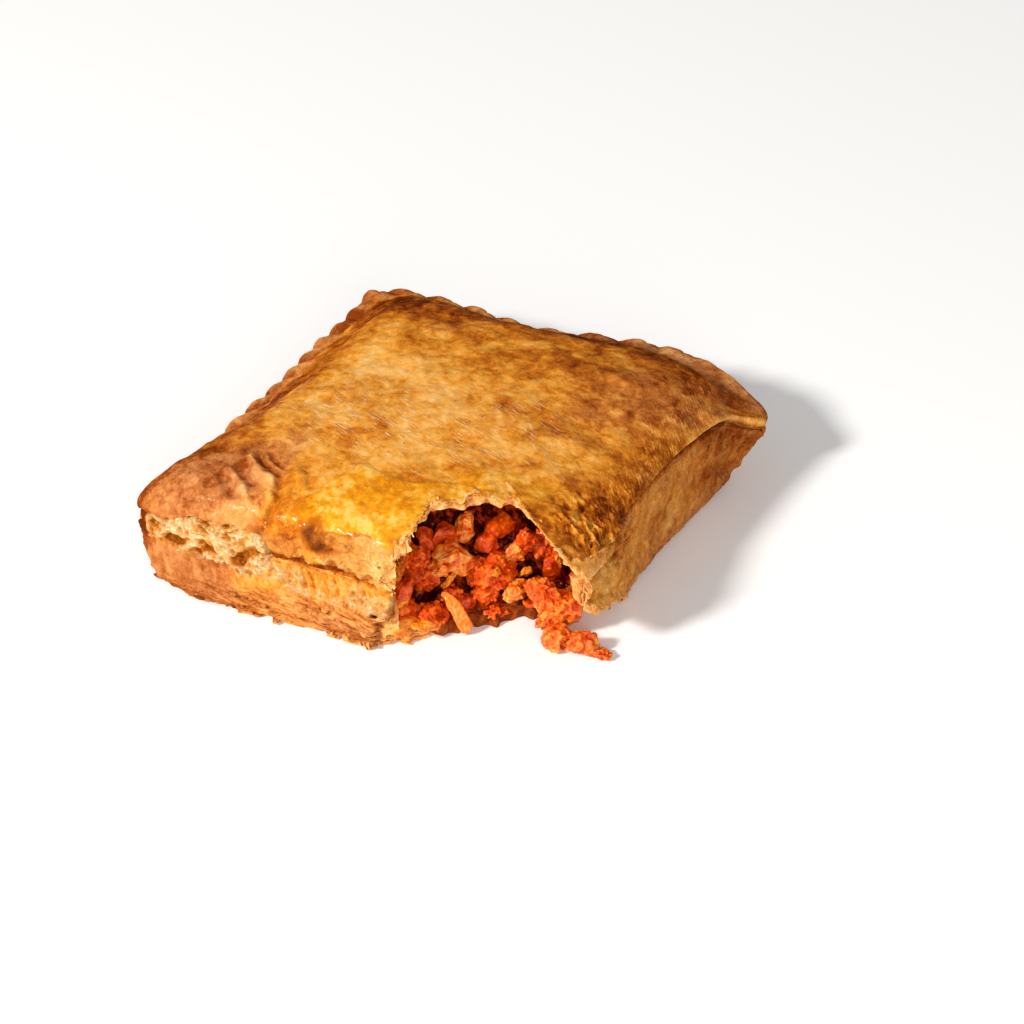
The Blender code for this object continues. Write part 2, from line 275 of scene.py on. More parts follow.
def onSquare(place):
    side = np.floor(place).astype(int) % 4
    step = 2 * (place - np.floor(place)) - 1
    one = np.ones_like(step)
    return np.choose(side, (one, -step, -one, step)), np.choose(side, (step, one, -step, -one))


def crimpStrength(place):
    grown = ease(np.minimum(place - 1, 3 - place) / case["crimpFade"])
    return np.where((place >= 1) & (place <= 3), grown, 0.0)


def lobe(place, lean=0.0):  # 0 in the notch between two crimps, 1 on a crimp's back
    side = np.floor(place).astype(int) % 4
    phase = (place - np.floor(place)) * np.array(case["crimps"])[side]
    back = np.abs(np.sin(math.pi * (phase + lean))) ** 0.6
    return mix(1.0, back, crimpStrength(place))


def wallRing(section, row, farHeight, places, seamDrop, notched):
    side = np.floor(places).astype(int) % 4
    step = places - np.floor(places)
    neighbour = np.where(step < 0.5, side - 1, side + 1)
    share = np.array(case["cornerShare"])[np.rint(places).astype(int) % 4]
    inCorner = np.where(neighbour < side, share, 1 - share)
    own = mix(inCorner, 1.0, ease(np.minimum(step, 1 - step) / section["corner"][row]))[:, None]
    walls = np.array([section[name][row] for name in case["walls"]])
    inset, share = mix(walls[neighbour % 4], walls[side], own).T
    across, up = onSquare(places)
    even = section["evenness"][row]
    x, y = alongLoop(case["seamLine"], places).T
    x = mix(x, case["squareMiddle"][0] + across * case["squareHalf"][0], even)
    y = mix(y, case["squareMiddle"][1] + up * case["squareHalf"][1], even)
    seam = mix(alongLoop(case["seamHeight"], places)[:, 0], case["squareHeight"], even) - seamDrop
    if notched and row < len(case["notchFade"]):
        inset = inset + case["notch"] * case["notchFade"][row] * (1 - lobe(places))
    power = section["roundness"][row]
    rounding = (np.abs(across) ** power + np.abs(up) ** power) ** (-1 / power)
    z = mix(seam, farHeight, share)
    return np.stack([(x - across * inset) * rounding, (y - up * inset) * rounding, z], -1)


def wallRings(name, farHeight, places, seamDrop=0.0, notched=False):
    section = sections[name]
    rows = range(len(section["roundness"]))
    return np.array([wallRing(section, row, farHeight, places, seamDrop, notched) for row in rows])


def smoothRows(rows, place, at):
    # points on a smooth sheet over rows of points, at a place round them and a distance down them;
    # the first and last rows only lead the curve in and out
    size = rows.shape[1]
    steps = np.linalg.norm(np.diff(rows, axis=0), axis=2).mean(axis=1)
    knots = np.concatenate([[0], np.cumsum(steps)]) - steps[0]
    k = np.clip(np.searchsorted(knots, at, side="right") - 1, 1, len(knots) - 3)
    column = place * size / 4
    left = np.floor(column).astype(int) % size
    blend = (column - np.floor(column))[:, None]
    right = (left + 1) % size
    p0, p1, p2, p3 = (mix(rows[k + j, left], rows[k + j, right], blend) for j in (-1, 0, 1, 2))
    t0, t1, t2, t3 = (knots[k + j][:, None] for j in (-1, 0, 1, 2))
    width = t2 - t1
    slopeA = ((p2 - p1) / width * (t1 - t0) + (p1 - p0) / (t1 - t0) * width) / (t2 - t0) * width
    slopeB = ((p3 - p2) / (t3 - t2) * width + (p2 - p1) / width * (t3 - t2)) / (t3 - t1) * width
    return hermite(p1, slopeA, p2, slopeB, (at[:, None] - t1) / width)


def rowLength(rows):
    return np.linalg.norm(np.diff(rows[1:-1], axis=0), axis=2).mean(axis=1).sum()


def squareSheet(name, farHeight, cells, seamDrop=0.0):
    # an even square net over a whole outer surface: its points, places and distances in from the rim
    size = cells * 8
    rings = wallRings(name, farHeight, np.arange(size) * 4 / size, seamDrop, notched=True)
    hub = rings[-1].mean(axis=0)
    hub[2] = farHeight
    middle = np.broadcast_to(hub, rings[:1].shape)
    beyond = np.roll(rings[-1:], size // 2, axis=1)
    rows = np.concatenate([2 * rings[:1] - rings[1:2], rings, middle, beyond])
    line = np.linspace(-1, 1, cells + 1)
    px, py = np.meshgrid(line, line)
    reach = np.maximum(np.abs(px), np.abs(py))
    safe = np.where(reach > 0, reach, 1.0)
    a, b = px / safe, py / safe
    sideways = np.abs(px) >= np.abs(py)
    eastWest = np.where(px > 0, (b + 1) / 2, 2 + (1 - b) / 2)
    northSouth = np.where(py > 0, 1 + (1 - a) / 2, 3 + (a + 1) / 2)
    place = (np.where(sideways, eastWest, northSouth) % 4).ravel()
    inward = (1 - reach).ravel() * rowLength(rows)
    return smoothRows(rows, place, inward), place, inward


def squareTriangles(cells):
    index = np.arange((cells + 1) ** 2).reshape(cells + 1, cells + 1)
    a, b, c, d = index[:-1, :-1], index[:-1, 1:], index[1:, 1:], index[1:, :-1]
    half = cells // 2
    flip = np.zeros((cells, cells, 1), bool)  # the diagonals run along the square's own
    flip[:half, half:] = True
    flip[half:, :half] = True
    first = np.where(flip, np.stack([a, b, d], -1), np.stack([a, b, c], -1))
    second = np.where(flip, np.stack([b, c, d], -1), np.stack([a, c, d], -1))
    return np.concatenate([first.reshape(-1, 3), second.reshape(-1, 3)])


def netTriangles(rows, columns):
    index = np.arange(rows * columns).reshape(rows, columns)
    quads = (index[:-1, :-1], index[:-1, 1:], index[1:, 1:], index[1:, :-1])
    a, b, c, d = (corner.ravel() for corner in quads)
    return np.concatenate([np.stack([a, b, c], -1), np.stack([a, c, d], -1)])


def netRim(rows, columns):  # the edge of a net, in order round it
    index = np.arange(rows * columns).reshape(rows, columns)
    return np.concatenate([index[0, :-1], index[:-1, -1], index[-1, :0:-1], index[:0:-1, 0]])


def bridge(low, high):  # triangles between two closed loops of point numbers
    lowNext, highNext = np.roll(low, -1), np.roll(high, -1)
    return np.concatenate([np.stack([low, lowNext, highNext], -1), np.stack([low, highNext, high], -1)])


def closedTube(rings, size):  # triangles over a stack of rings of points and the two hubs after them
    loops = [k * size + np.arange(size) for k in range(rings)]
    fans = [
        np.stack([np.roll(loops[0], -1), loops[0], np.full(size, rings * size)], -1),
        np.stack([loops[-1], np.roll(loops[-1], -1), np.full(size, rings * size + 1)], -1),
    ]
    return np.concatenate([bridge(low, high) for low, high in zip(loops, loops[1:])] + fans)


def vertexNormals(points, triangles):
    corners = points[triangles]
    normal = np.cross(corners[:, 1] - corners[:, 0], corners[:, 2] - corners[:, 0])
    total = np.zeros_like(points)
    for axis in range(3):
        for k in range(3):
            total[:, axis] += np.bincount(triangles[:, k], normal[:, axis], len(points))
    return total / np.maximum(np.linalg.norm(total, axis=1, keepdims=True), 1e-9)


def facingAlong(points, triangles, axis, way):  # a sheet turned to face one way, and its normals
    normals = vertexNormals(points, triangles)
    if normals[:, axis].sum() * way < 0:
        return triangles[:, ::-1], -normals
    return triangles, normals


def facingOut(points, triangles):
    a, b, c = (points[triangles[:, k]] for k in range(3))
    return triangles if (a * np.cross(b, c)).sum() > 0 else triangles[:, ::-1]


def pick(points, triangles, values, kept):  # only the kept triangles, with the points they use
    triangles = triangles[kept]
    used = np.zeros(len(points), bool)
    used[triangles] = True
    number = np.cumsum(used) - 1
    return points[used], number[triangles], {key: value[used] for key, value in values.items()}


def splitAt(points, triangles, values, edge, drop=None):
    # cuts a sheet where edge passes 0: without a drop the part below 0 goes, with one it sinks by it
    # and a crisp step joins the two
    edge = np.where(np.abs(edge) < 1e-6, 1e-6, edge)
    over = edge[triangles] > 0
    count = over.sum(axis=1)
    whole = triangles[count == 3]
    sunk = triangles[count == 0]
    crossed = triangles[(count == 1) | (count == 2)]
    lone = over[(count == 1) | (count == 2)]
    first = np.where(lone.sum(axis=1) == 1, lone.argmax(axis=1), (~lone).argmax(axis=1))
    a, b, c = (np.take_along_axis(crossed, ((first + k) % 3)[:, None], 1)[:, 0] for k in range(3))
    pairs = np.sort(np.concatenate([np.stack([a, b], -1), np.stack([a, c], -1)]), axis=1)
    unique, number = np.unique(pairs, axis=0, return_inverse=True)
    number = number.ravel()
    share = edge[unique[:, 0]] / (edge[unique[:, 0]] - edge[unique[:, 1]])
    base, extra = len(points), len(unique)

    def along(array):
        weight = share[:, None] if array.ndim == 2 else share
        return mix(array[unique[:, 0]], array[unique[:, 1]], weight)

    ab, ac = base + number[: len(a)], base + number[len(a) :]
    above = edge[a] > 0
    tips = np.stack([a, ab, ac], -1)
    rests = np.concatenate([np.stack([ab, b, c], -1), np.stack([ab, c, ac], -1)])
    twice = np.concatenate([above, above])
    upper = [whole, tips[above], rests[~twice]]
    if drop is None:
        points = np.concatenate([points, along(points)])
        values = {key: np.concatenate([value, along(value)]) for key, value in values.items()}
        triangles = np.concatenate(upper)
        return pick(points, triangles, values, np.ones(len(triangles), bool))

    def lower(part):
        return np.where(part >= base, part + extra, part)

    low, lowTips, lowRests = sunk, lower(tips[~above]), lower(rests[twice])
    p, q = np.where(above, ac, ab), np.where(above, ab, ac)
    steps = [np.stack([p, q, q + extra], -1), np.stack([p, q + extra, p + extra], -1)]
    below = (edge < 0)[:, None]
    newPoints = np.concatenate([points + drop * below, along(points), along(points + drop)])
    newValues = {}
    for key, value in values.items():
        fall = (edge < 0) if key == "layer" else 0
        plus = 1 if key == "layer" else 0
        newValues[key] = np.concatenate([value + fall, along(value), along(value) + plus])
    return newPoints, np.concatenate(upper + [low, lowTips, lowRests] + steps), newValues


def thicken(points, triangles, values, under):
    # a closed leaf from an open sheet and the points of its underside
    size = len(points)
    edges = np.concatenate([triangles[:, [0, 1]], triangles[:, [1, 2]], triangles[:, [2, 0]]])
    key = np.sort(edges, axis=1)
    _, index, uses = np.unique(key[:, 0] * size + key[:, 1], return_index=True, return_counts=True)
    rim = edges[index[uses == 1]]
    a, b = rim.T
    sides = np.concatenate([np.stack([b, a, a + size], -1), np.stack([b, a + size, b + size], -1)])
    allPoints = np.concatenate([points, under])
    allTriangles = np.concatenate([triangles, triangles[:, ::-1] + size, sides])
    return allPoints, allTriangles, {k: np.concatenate([v, v]) for k, v in values.items()}


def joined(parts):  # several (points, triangles, values) as one
    offset, points, triangles = 0, [], []
    for part in parts:
        points.append(part[0])
        triangles.append(part[1] + offset)
        offset += len(part[0])
    values = {key: np.concatenate([part[2][key] for part in parts]) for key in parts[0][2]}
    return np.concatenate(points), np.concatenate(triangles), values


def carry(values, vectors):  # a vector for each point, kept among the values while a sheet is cut
    return values | {f"carried{k}": vectors[:, k] for k in range(3)}


def uncarry(values):
    return np.stack([values.pop(f"carried{k}") for k in range(3)], -1)


def keepAbove(points, lowest):
    points[:, 2] = np.maximum(points[:, 2], lowest)
    return points


def toFrame(points):
    return (points - np.array([*case["planMiddle"], 0.0])) / 1000


def meshFrom(name, points, triangles, values, sharpAngle=None):
    data = bpy.data.meshes.new(name)
    data.vertices.add(len(points))
    data.vertices.foreach_set("co", toFrame(points).astype(np.float32).ravel())
    data.loops.add(len(triangles) * 3)
    data.loops.foreach_set("vertex_index", triangles.astype(np.int32).ravel())
    data.polygons.add(len(triangles))
    data.polygons.foreach_set("loop_start", np.arange(len(triangles), dtype=np.int32) * 3)
    data.update(calc_edges=True)
    data.validate()
    for key, value in values.items():
        data.attributes.new(key, "FLOAT", "POINT").data.foreach_set("value", np.asarray(value, np.float32))
    data.shade_smooth()
    if sharpAngle:
        data.set_sharp_from_angle(angle=math.radians(sharpAngle))
    return data


def addPiece(name, points, triangles, values, material, sharpAngle=None):
    data = meshFrom(name, points, triangles, values, sharpAngle)
    data.materials.append(material)
    piece = bpy.data.objects.new(name, data)
    bpy.context.scene.collection.objects.link(piece)
    return piece


def evaluated(piece):  # the piece's finished mesh, with its modifiers gone
    graph = bpy.context.evaluated_depsgraph_get()
    data = bpy.data.meshes.new_from_object(piece.evaluated_get(graph))
    piece.modifiers.clear()
    old, piece.data = piece.data, data
    bpy.data.meshes.remove(old)
    data.name = piece.name
    return data


def tearAway(piece, cutter):
    modifier = piece.modifiers.new("tornAway", "BOOLEAN")
    modifier.operation = "DIFFERENCE"
    modifier.solver = "MANIFOLD"
    modifier.object = cutter
    evaluated(piece)
    old = cutter.data
    bpy.data.objects.remove(cutter)
    bpy.data.meshes.remove(old)


def tearFrame(points):
    along = (points[..., 0] + points[..., 1]) / math.sqrt(2)
    return along, (points[..., 0] - points[..., 1]) / math.sqrt(2)


def fromTear(along, out, height):
    level = height + 0 * along
    return np.stack([(along + out) / math.sqrt(2), (along - out) / math.sqrt(2), level], -1)


def tearReach(along, height):  # how far out the torn edge is
    reach = mix(tear["foot"], tear["lip"], ease(height / tear["lipHeight"]))
    west = ease((tear["westStart"] - along) / tear["westWidth"])
    reach = reach + tear["westReach"] * ease(height / tear["lipHeight"]) * west
    lean = (np.maximum(height, 0) / tear["leanHeight"]) ** tear["leanPower"]
    eastEnd = tear["eastFoot"] - tear["eastLean"] * lean
    east = ease((along - tear["eastStart"]) / (eastEnd - tear["eastStart"])) ** tear["eastPower"]
    reach = reach + tear["eastReach"] * ease(height / tear["eastHeight"]) * east
    sag = sum(between(along, *run) for run in tear["droopRuns"])
    reach = reach + tear["droop"] * ease((height - tear["droopHeight"]) / 5) * sag
    for size, waves, waveRise in tear["ripples"]:
        reach = reach + size * np.sin(waves * along + waveRise * height)
    return reach


def faceReach(along, height):  # how far out the filling's own face is
    lift = (height - case["floor"]) / (case["crown"] - case["floor"])
    return mix(tear["faceFoot"], tear["faceTop"], lift) + np.sin(0.5 * along + 0.4 * height)


def tearSteep(along, height):  # how much longer a step straight in is than one square to the torn edge
    slope = tearReach(along + 0.5, height) - tearReach(along - 0.5, height)
    return np.minimum(np.sqrt(1 + slope**2), tear["steepest"])


def tearGap(points):  # how far a point is behind the torn edge
    along, out = tearFrame(points)
    return (tearReach(along, points[..., 2]) - out) / tearSteep(along, points[..., 2])


def leftScoop(along, height):  # the torn wall is thin at its left end, with the filling close behind it
    return between(along, -34.9, -21, 1.6, 5) * between(height, 3, 28, 2, 5)


def cutterAt(name, reachOf, step):
    # a block over the torn corner whose inner side is at the given reach
    along = np.arange(-tear["span"], tear["span"] + step, step)
    height = np.arange(tear["low"], tear["top"], step)
    along, height = np.meshgrid(along, height)
    reach = np.minimum(reachOf(along, height), tear["cornerReach"] - 5)
    inner = fromTear(along, reach, height)
    outer = fromTear(along, np.full_like(reach, tear["cornerReach"]), height)
    size = inner[..., 0].size
    sheet, edge = netTriangles(*along.shape), netRim(*along.shape)
    points = np.concatenate([inner.reshape(-1, 3), outer.reshape(-1, 3)])
    triangles = np.concatenate([sheet, sheet[:, ::-1] + size, bridge(edge, edge + size)[:, ::-1]])
    cutter = bpy.data.objects.new(name, meshFrom(name, points, facingOut(points, triangles), {}))
    bpy.context.scene.collection.objects.link(cutter)
    return cutter


def tornShell(name, points, triangles, values, reachOf, material):
    piece = addPiece(name, points, triangles, values, material)
    tearAway(piece, cutterAt(name + "Tear", reachOf, tear["step"]))
    piece.data.set_sharp_from_angle(angle=math.radians(case["sharpAngle"]))
    print(name + ":", len(piece.data.polygons), "faces")
    return piece


lid = {
    "cells": 304,
    "lean": 0.85,  # how far a crimp's ridge leans over on its way in, in crimps
    "crimpHeight": 1.7,
    "crimpReach": 10.0,
    "setBack": 0.15,  # of the solid part behind the torn edge
    "undercut": 1.6,
    "undercutTop": 32.6,
    "skinStep": 0.4,
    "wallSkinEdge": 23.0,  # where the skin of the south wall stops over the open crumb
    "crumbEnd": -25.5,
    "recess": 3.0,
    "seamGroove": 17.4,  # heights on the walls
    "paleTop": 29.4,
    "saffronFoot": 28.4,
    "dripHeight": 28.6,
    "eastRidge": 28.4,
    "bakeKnee": 0.6,
    "bakeSpan": 0.26,
    "swells": ((0.60, 24, 2, 1), (0.34, 8, 3, 2), (0.10, 2.4, 2, 3)),  # height, size, octaves, seed
    "westCreases": (  # x, y of both ends, bend, width, height
        (-29.5, -52, -38.5, -45.2, 0.9, 1.6, 1.05),
        (-28.2, -48.8, -36, -43, 0.7, 0.8, 0.6),
        (-17.6, -52.6, -25.2, -45.4, 0.6, 1.4, 0.4),
        (-33.5, -56.5, -41.5, -51.5, 0.7, 1.5, 0.75),
        (-26, -61, -29.6, -50, -0.9, 1.2, 0.8),
        (-36, -60.5, -44, -55.5, 0.6, 1.3, 0.5),
        (-31, -60, -34.5, -54, 0.5, 1.0, 0.4),
    ),
    "tornCreases": (
        (43, -33, 53, -39.5, 0.6, 0.6, 0.6),
        (46, -31.5, 56.5, -38.8, 1.6, 0.5, 0.9),
        (49, -29, 57.5, -35.6, 2.0, 0.55, 0.8),
        (51.5, -26, 57, -31.6, 0.8, 0.5, 0.7),
        (44, -28.8, 50, -30.2, -0.8, 0.8, 0.5),
        (52, -34, 57, -40.5, 0.8, 0.45, 0.8),
    ),
    "blisters": (  # x, y, half width, height
        (-24, -49, 3.0, 0.5), (-4, 22, 5.0, 0.5), (18, 6, 4.0, 0.4), (-22, 12, 4.0, 0.35),
        (30, 30, 5.0, 0.5), (8, -24, 3.5, 0.35), (-34, -12, 3.5, 0.35), (-12, 40, 4.5, 0.5),
        (26, -12, 3.0, 0.35),
    ),
    "bakeSpots": (  # strength, middle, half sizes
        (0.14, (-48, -14), (14, 24)),
        (0.12, (-44, -38), (14, 12)),
        (0.10, (30, 26), (18, 22)),
        (0.22, (-47, -52), (15, 14)),
        (-0.12, (-10, -8), (26, 16)),
        (-0.08, (-30, 20), (14, 16)),
        (-0.10, (30, -28), (12, 8)),
        (-0.14, (48, 34), (16, 18)),
    ),
    "stainSpots": ((1, (-12.2, 26.4), (3.4, 3.6), 0.3), (0.7, (-9.4, 23.8), (2.2, 1.8))),  # by x and height
    "streakSpots": ((1.2, (-16, -20), (26, 17), 0.1), (0.7, (16, -8), (22, 18))),
    "rosySpots": (
        (0.15, (-36, -50), (12, 10)),
        (0.5, (54, 38), (14, 18)),
        (0.8, (-50, -57), (13, 10)),
        (0.5, (36, 22), (16, 20)),
    ),
}


def wallEdge(x):
    flat = np.stack([x, 0 * x, 0 * x], -1)
    return lid["wallSkinEdge"] + 1.0 * fractal(flat, 9, 3, 41) - 3.2 * ease((-46 - x) / 10)


def wallSkinLine(points):  # how far a point is above the ragged lower edge of the south wall's skin
    x, y, z = points.T
    line = wallEdge(x) + 0.7 * fractal(points, 1.8, 3, 44)
    line = mix(line, 8.0, ease((x - lid["crumbEnd"]) / 3.5))
    return np.where(y < -52, z - line, 9.0)


def westFolds(points):
    return creases(points[:, 0], points[:, 1], lid["westCreases"], 0.8 * fractal(points, 5, 2, 6))


def tornFolds(points):
    return creases(points[:, 0], points[:, 1], lid["tornCreases"], 2.0 * fractal(points, 5.0, 3, 8))


def saffronEdge(points):  # 1 where the yellow skin starts, along a fold on its west side
    x, y = points[:, 0], points[:, 1]
    wander = 1.6 * fractal(points, 6, 3, 45)
    fromWest = x + 20.6 - 0.46 * (y + 61) + wander
    fromNorth = -38.2 + 0.25 * np.maximum(x - 4, 0) - y + wander
    return ease(fromWest / 1.2) * ease(fromNorth / 1.6)


def lidRelief(points, place, inward):
    x, y, z = points.T
    south = place >= 3
    shape = layers(points, lid["swells"])
    # the crimps lean over like the turns of a rope and die away up the dome
    crimped = crimpStrength(place)
    flange = crimped * ease((lid["crimpReach"] + 4.0 - inward) / 7)
    shape = shape + flange * (lid["crimpHeight"] * lobe(place, lid["lean"] * inward / 8) ** 1.6 - 0.5)
    shape = shape + crimped * (2.3 * band(inward, 11.0, 3.0) - 0.7 * band(inward, 18.0, 3.0))
    shape = shape + 1.3 * westFolds(points)
    shape = shape + 0.6 * tornFolds(points)
    crumple = ease(1.7 * spot(x, y, (51, -30), (9, 9)))
    wrinkles = ridged(np.stack([x + y, 0.4 * (x - y), z], -1), 4.5, 2, 50)
    shape = shape + crumple * (1.2 * wrinkles - 0.6)
    shape = shape + 0.5 * saffronEdge(points) * band(z, 34, 5)
    for bx, by, size, height in lid["blisters"]:
        shape = shape + height * spot(x, y, (bx, by), (size, size * 0.7), 0.4)
    # the south wall: steps of flaking skin, the seam, and the knob that carries the stain
    pale = south * ease((x + 24) / 8) * ease((29 - z) / 3) * (z > 10)
    shape = shape + pale * (0.6 * terraces(2.8 * fractal(points, 3.8, 3, 18)) - 0.1)
    shape = shape - 0.9 * south * (x > -26) * band(z, lid["seamGroove"], 0.8)
    shape = shape + 0.7 * spot(x, y, (-11, -60.5), (2.4, 2.4)) * (z > 20)
    # the top flakes and lifts a little towards the tear
    lifted = 0.4 + fractal(points, 2.0, 2, 19)
    shape = shape + 0.35 * band(tearGap(points), 1.2, 1.6) * lifted * ease(inward / 4)
    return shape * ease(inward / 2 + 0.3)


def lidBakeAndShade(points, place, inward):  # how brown the skin is, from 0 for cream to 1 for nearly black, with painted shade and highlight added in places
    x, y, z = points.T
    west, north, east = (place > 2) & (place < 3), (place > 1) & (place <= 2), place <= 1
    uneven = fractal(points, 9, 3, 27)
    bake = 0.40 + 0.10 * fractal(points, 26, 4, 21, 0.6) + spots(x, y, lid["bakeSpots"])
    # slow drifts over the whole top
    bake = bake + 0.05 * ease((-y - 35) / 20) + 0.10 * ease((y - 8) / 30) + 0.03 * ease((y - 4) / 20)
    bake = bake + 0.09 * ease((x - 10) / 30) + 0.07 * ease((x + 8) / 20)
    # brown shoulders above the crimps
    northShare, westShare = mix(1.0, 0.7, ease((x + 20) / 50)), mix(0.75, 1.0, ease((10 - y) / 40))
    bake = bake + (0.38 + 0.20 * uneven) * north * band(inward, 18, 8) * northShare
    bake = bake + (0.34 + 0.22 * uneven) * west * band(inward, 17, 9) * westShare
    bake = bake + (0.36 + 0.20 * uneven) * spot(x, y, (-33, 38), (19, 7))
    # the crimps have pale backs and brown notches, a painted highlight and painted shade, and a dark baked
    # rim
    turns = lobe(place, lid["lean"] * inward / 8) ** 1.5
    bake = bake + (0.22 - 0.36 * turns) * crimpStrength(place) * ease((15 - inward) / 5)
    bake = bake + (north | west) * (0.20 * ease((10 - inward) / 4) + 0.24 * ease((2.4 - inward) / 1.5))
    bake = bake - 0.24 * north * ease((9 - inward) / 3) * ease((x - 8) / 10)
    # painted shadow of the gap at the south-west corner, at the seam
    bake = bake + 0.5 * spot(x, y, (-62, -61.5), (5, 3.5)) * band(z, 17.5, 2.5)
    # the east side has a brown ridge, and a pale line above its dark rim, which is painted shade in the
    # crease of the seam
    bake = bake + (0.26 + 0.20 * uneven) * east * band(z, lid["eastRidge"], 2.0)
    bake = bake - 0.32 * east * band(inward, 2.2, 1.2) * ease((inward - 0.9) / 0.6)
    return bake + 0.45 * east * ease((1.0 - inward) / 0.5)


def lidColour(points, place, inward):
    x, y, z = points.T
    west, north = (place > 2) & (place < 3), (place > 1) & (place <= 2)
    east, south = place <= 1, place >= 3
    uneven = fractal(points, 9, 3, 27)
    runs = 1.6 * fractal(points, 7, 2, 48)
    along, gap = tearFrame(points)[0], tearGap(points)
    # where the special skins lie: crumpled by the tear, its thin lip and flap, and two on the south wall
    crumple = ease(1.7 * spot(x, y, (51, -29), (8.5, 10)))
    lip = between(along, -32, 2, 6, 4) * ease(1 - (gap - 0.5 - 1.2 * uneven) / 1.6)
    flap = ease((along - 8) / 5) * ease(1 - (gap - 8) / 6) * ease((30 - z) / 3)
    pale = south * ease((x + 15) / 8) * ease((lid["paleTop"] - z + runs) / 1.6)
    tan = south * between(x, -28, -12, 3, 3) * ease((26 - z) / 3)
    southWest = ease((place - 2.86) / 0.26)

    # the folds are painted paler on their crests and darker in their grooves: painted highlight and painted
    # shade
    folds = np.clip(tornFolds(points), -1, 1)
    bake = lidBakeAndShade(points, place, inward) - 0.26 * np.clip(westFolds(points), -1, 1)
    bake = bake + crumple * (0.12 + 0.42 * fractal(points, 2.4, 3, 46) - 0.25 * folds)
    bake = mix(bake, 0.27 + 0.3 * uneven, pale)
    bake = mix(bake, 0.30, 0.6 * lip)
    bake = mix(bake, 0.36 + 0.4 * uneven, flap)
    bake = mix(bake, 0.52, 0.7 * tan)
    bake = bake + 0.06 * southWest
    # a dark line along the lid's lower edge over the open crumb: painted shade in the crack of the seam
    bake = bake + 0.7 * south * ease((0.8 - inward) / 0.4) * between(x, lid["crumbEnd"], 4, 2, 3)

    saffron = spot(x, y, (-2, -49), (24, 14), 0.22) * saffronEdge(points)
    saffron = saffron + 0.55 * spot(x, y, (24, -31), (20, 8), 0.3)
    saffron = ease(saffron * 1.9 - 0.25 + 0.35 * uneven)
    saffron = saffron * ease((z - lid["saffronFoot"] - runs) / 1.0) * (1 - 0.7 * lip)

    ragged = 0.7 * fractal(points, 2.6, 3, 47)
    stain = spots(x, z, lid["stainSpots"]) + 0.6 * ragged * band(x, -11, 5) * band(z, 25.5, 4)
    dripLine = band(z, lid["dripHeight"] + runs, 0.45) * between(x, -10, 7, 2, 3)

    rosy = 0.85 * crimpStrength(place) * ease((11 - inward) / 4) + spots(x, y, lid["rosySpots"])
    rosy = rosy + 0.6 * southWest * ease((-24 - x) / 5) + 0.5 * tan
    rosy = rosy + 0.8 * north * ease((15 - inward) / 5) * ease((x - 2) / 10)
    shoulder = (north | west) * band(inward, 17, 8)
    flaky = pale + lip + flap + 0.5 * tan + 0.8 * east * band(inward, 2.2, 1.4)
    return {
        "bake": softLimit(bake, lid["bakeKnee"], lid["bakeSpan"]),
        "saffron": saffron,
        "stain": np.clip((np.clip(stain, 0, 1) + 0.42 * dripLine) * (y < -50), 0, 1),
        "glaze": ease((z - 23) / 3) * (1 - pale) * (1 - 0.8 * lip) * (1 - flap) * (1 - 0.9 * shoulder),
        "rosy": np.clip(np.clip(rosy, 0, 1) * (1 - pale) + 0.5 * pale + 0.4 * flap, 0, 1),
        "streak": np.clip(spots(x, y, lid["streakSpots"]), 0, 1),
        "ribs": np.clip(east * band(z, lid["eastRidge"] + 0.2, 2.2) + 0.4 * crumple, 0, 1),
        "flaky": np.clip(flaky, 0, 1),
        "side": east * ease((27 - z) / 2) * (1 - flap),
    }


def closeShell(points, triangles, values, rim, insideName, farHeight, seamDrop=0.0):
    # closes an outer sheet with its inner surface, a few rings to its own hub
    places = np.arange(len(rim)) * 4 / len(rim)
    inside = wallRings(insideName, farHeight, places, seamDrop)
    hub = inside[-1].mean(axis=0)
    hub[2] = inside[-1][:, 2].mean() if insideName == "lidInside" else farHeight
    count, size = len(points), len(rim)
    loops = [rim] + [count + k * size + np.arange(size) for k in range(len(inside))]
    fan = np.stack([loops[-1], np.roll(loops[-1], -1), np.full(size, count + len(inside) * size)], -1)
    strips = [bridge(low, high) for low, high in zip(loops, loops[1:])]
    extra = len(inside) * size + 1
    lining = np.concatenate(strips + [fan])
    points = np.concatenate([points, inside.reshape(-1, 3), hub[None]])
    # the lining runs the other way round from the sheet
    sheetEdge = triangles[(triangles == rim[0]).any(axis=1) & (triangles == rim[1]).any(axis=1)][0]
    at = list(sheetEdge).index(rim[0])
    if sheetEdge[(at + 1) % 3] == rim[1]:
        lining = lining[:, ::-1]
    triangles = np.concatenate([triangles, lining])
    values = {key: np.concatenate([value, np.zeros(extra)]) for key, value in values.items()}
    values["lining"] = np.concatenate([np.zeros(count), np.ones(extra)])
    return points, facingOut(points, triangles), values


def squareRim(cells):  # a square net's edge in the order of its places, from the torn corner
    index = np.arange((cells + 1) ** 2).reshape(cells + 1, cells + 1)
    return np.concatenate([index[:-1, -1], index[-1, :0:-1], index[:0:-1, 0], index[0, :-1]])


def lidSheet():
    points, place, inward = squareSheet("lidOutside", case["crown"], lid["cells"])
    triangles, normals = facingAlong(points, squareTriangles(lid["cells"]), 2, 1)
    values = lidColour(points, place, inward)
    points = points + normals * lidRelief(points, place, inward)[:, None]
    values |= {"crust": np.ones(len(points)), "layer": np.zeros(len(points))}
    return points, triangles, values


def skinLip(points):  # how far a point is behind the ragged edge of the skin round the tear
    along = tearFrame(points)[0]
    width = mix(0.9, 0.35, ease((along + 33) / 5))
    width = mix(width, 5.5, ease((along - 1) / 6))
    width = mix(width, 7.0, ease((along - 8) / 4) * ease((30.5 - points[:, 2]) / 3))
    rough = 0.8 * fractal(points, 4, 3, 51) + 0.7 * fractal(points, 1.5, 3, 54)
    return tearGap(points) - width - rough * mix(0.6, 1.4, ease(along / 6))


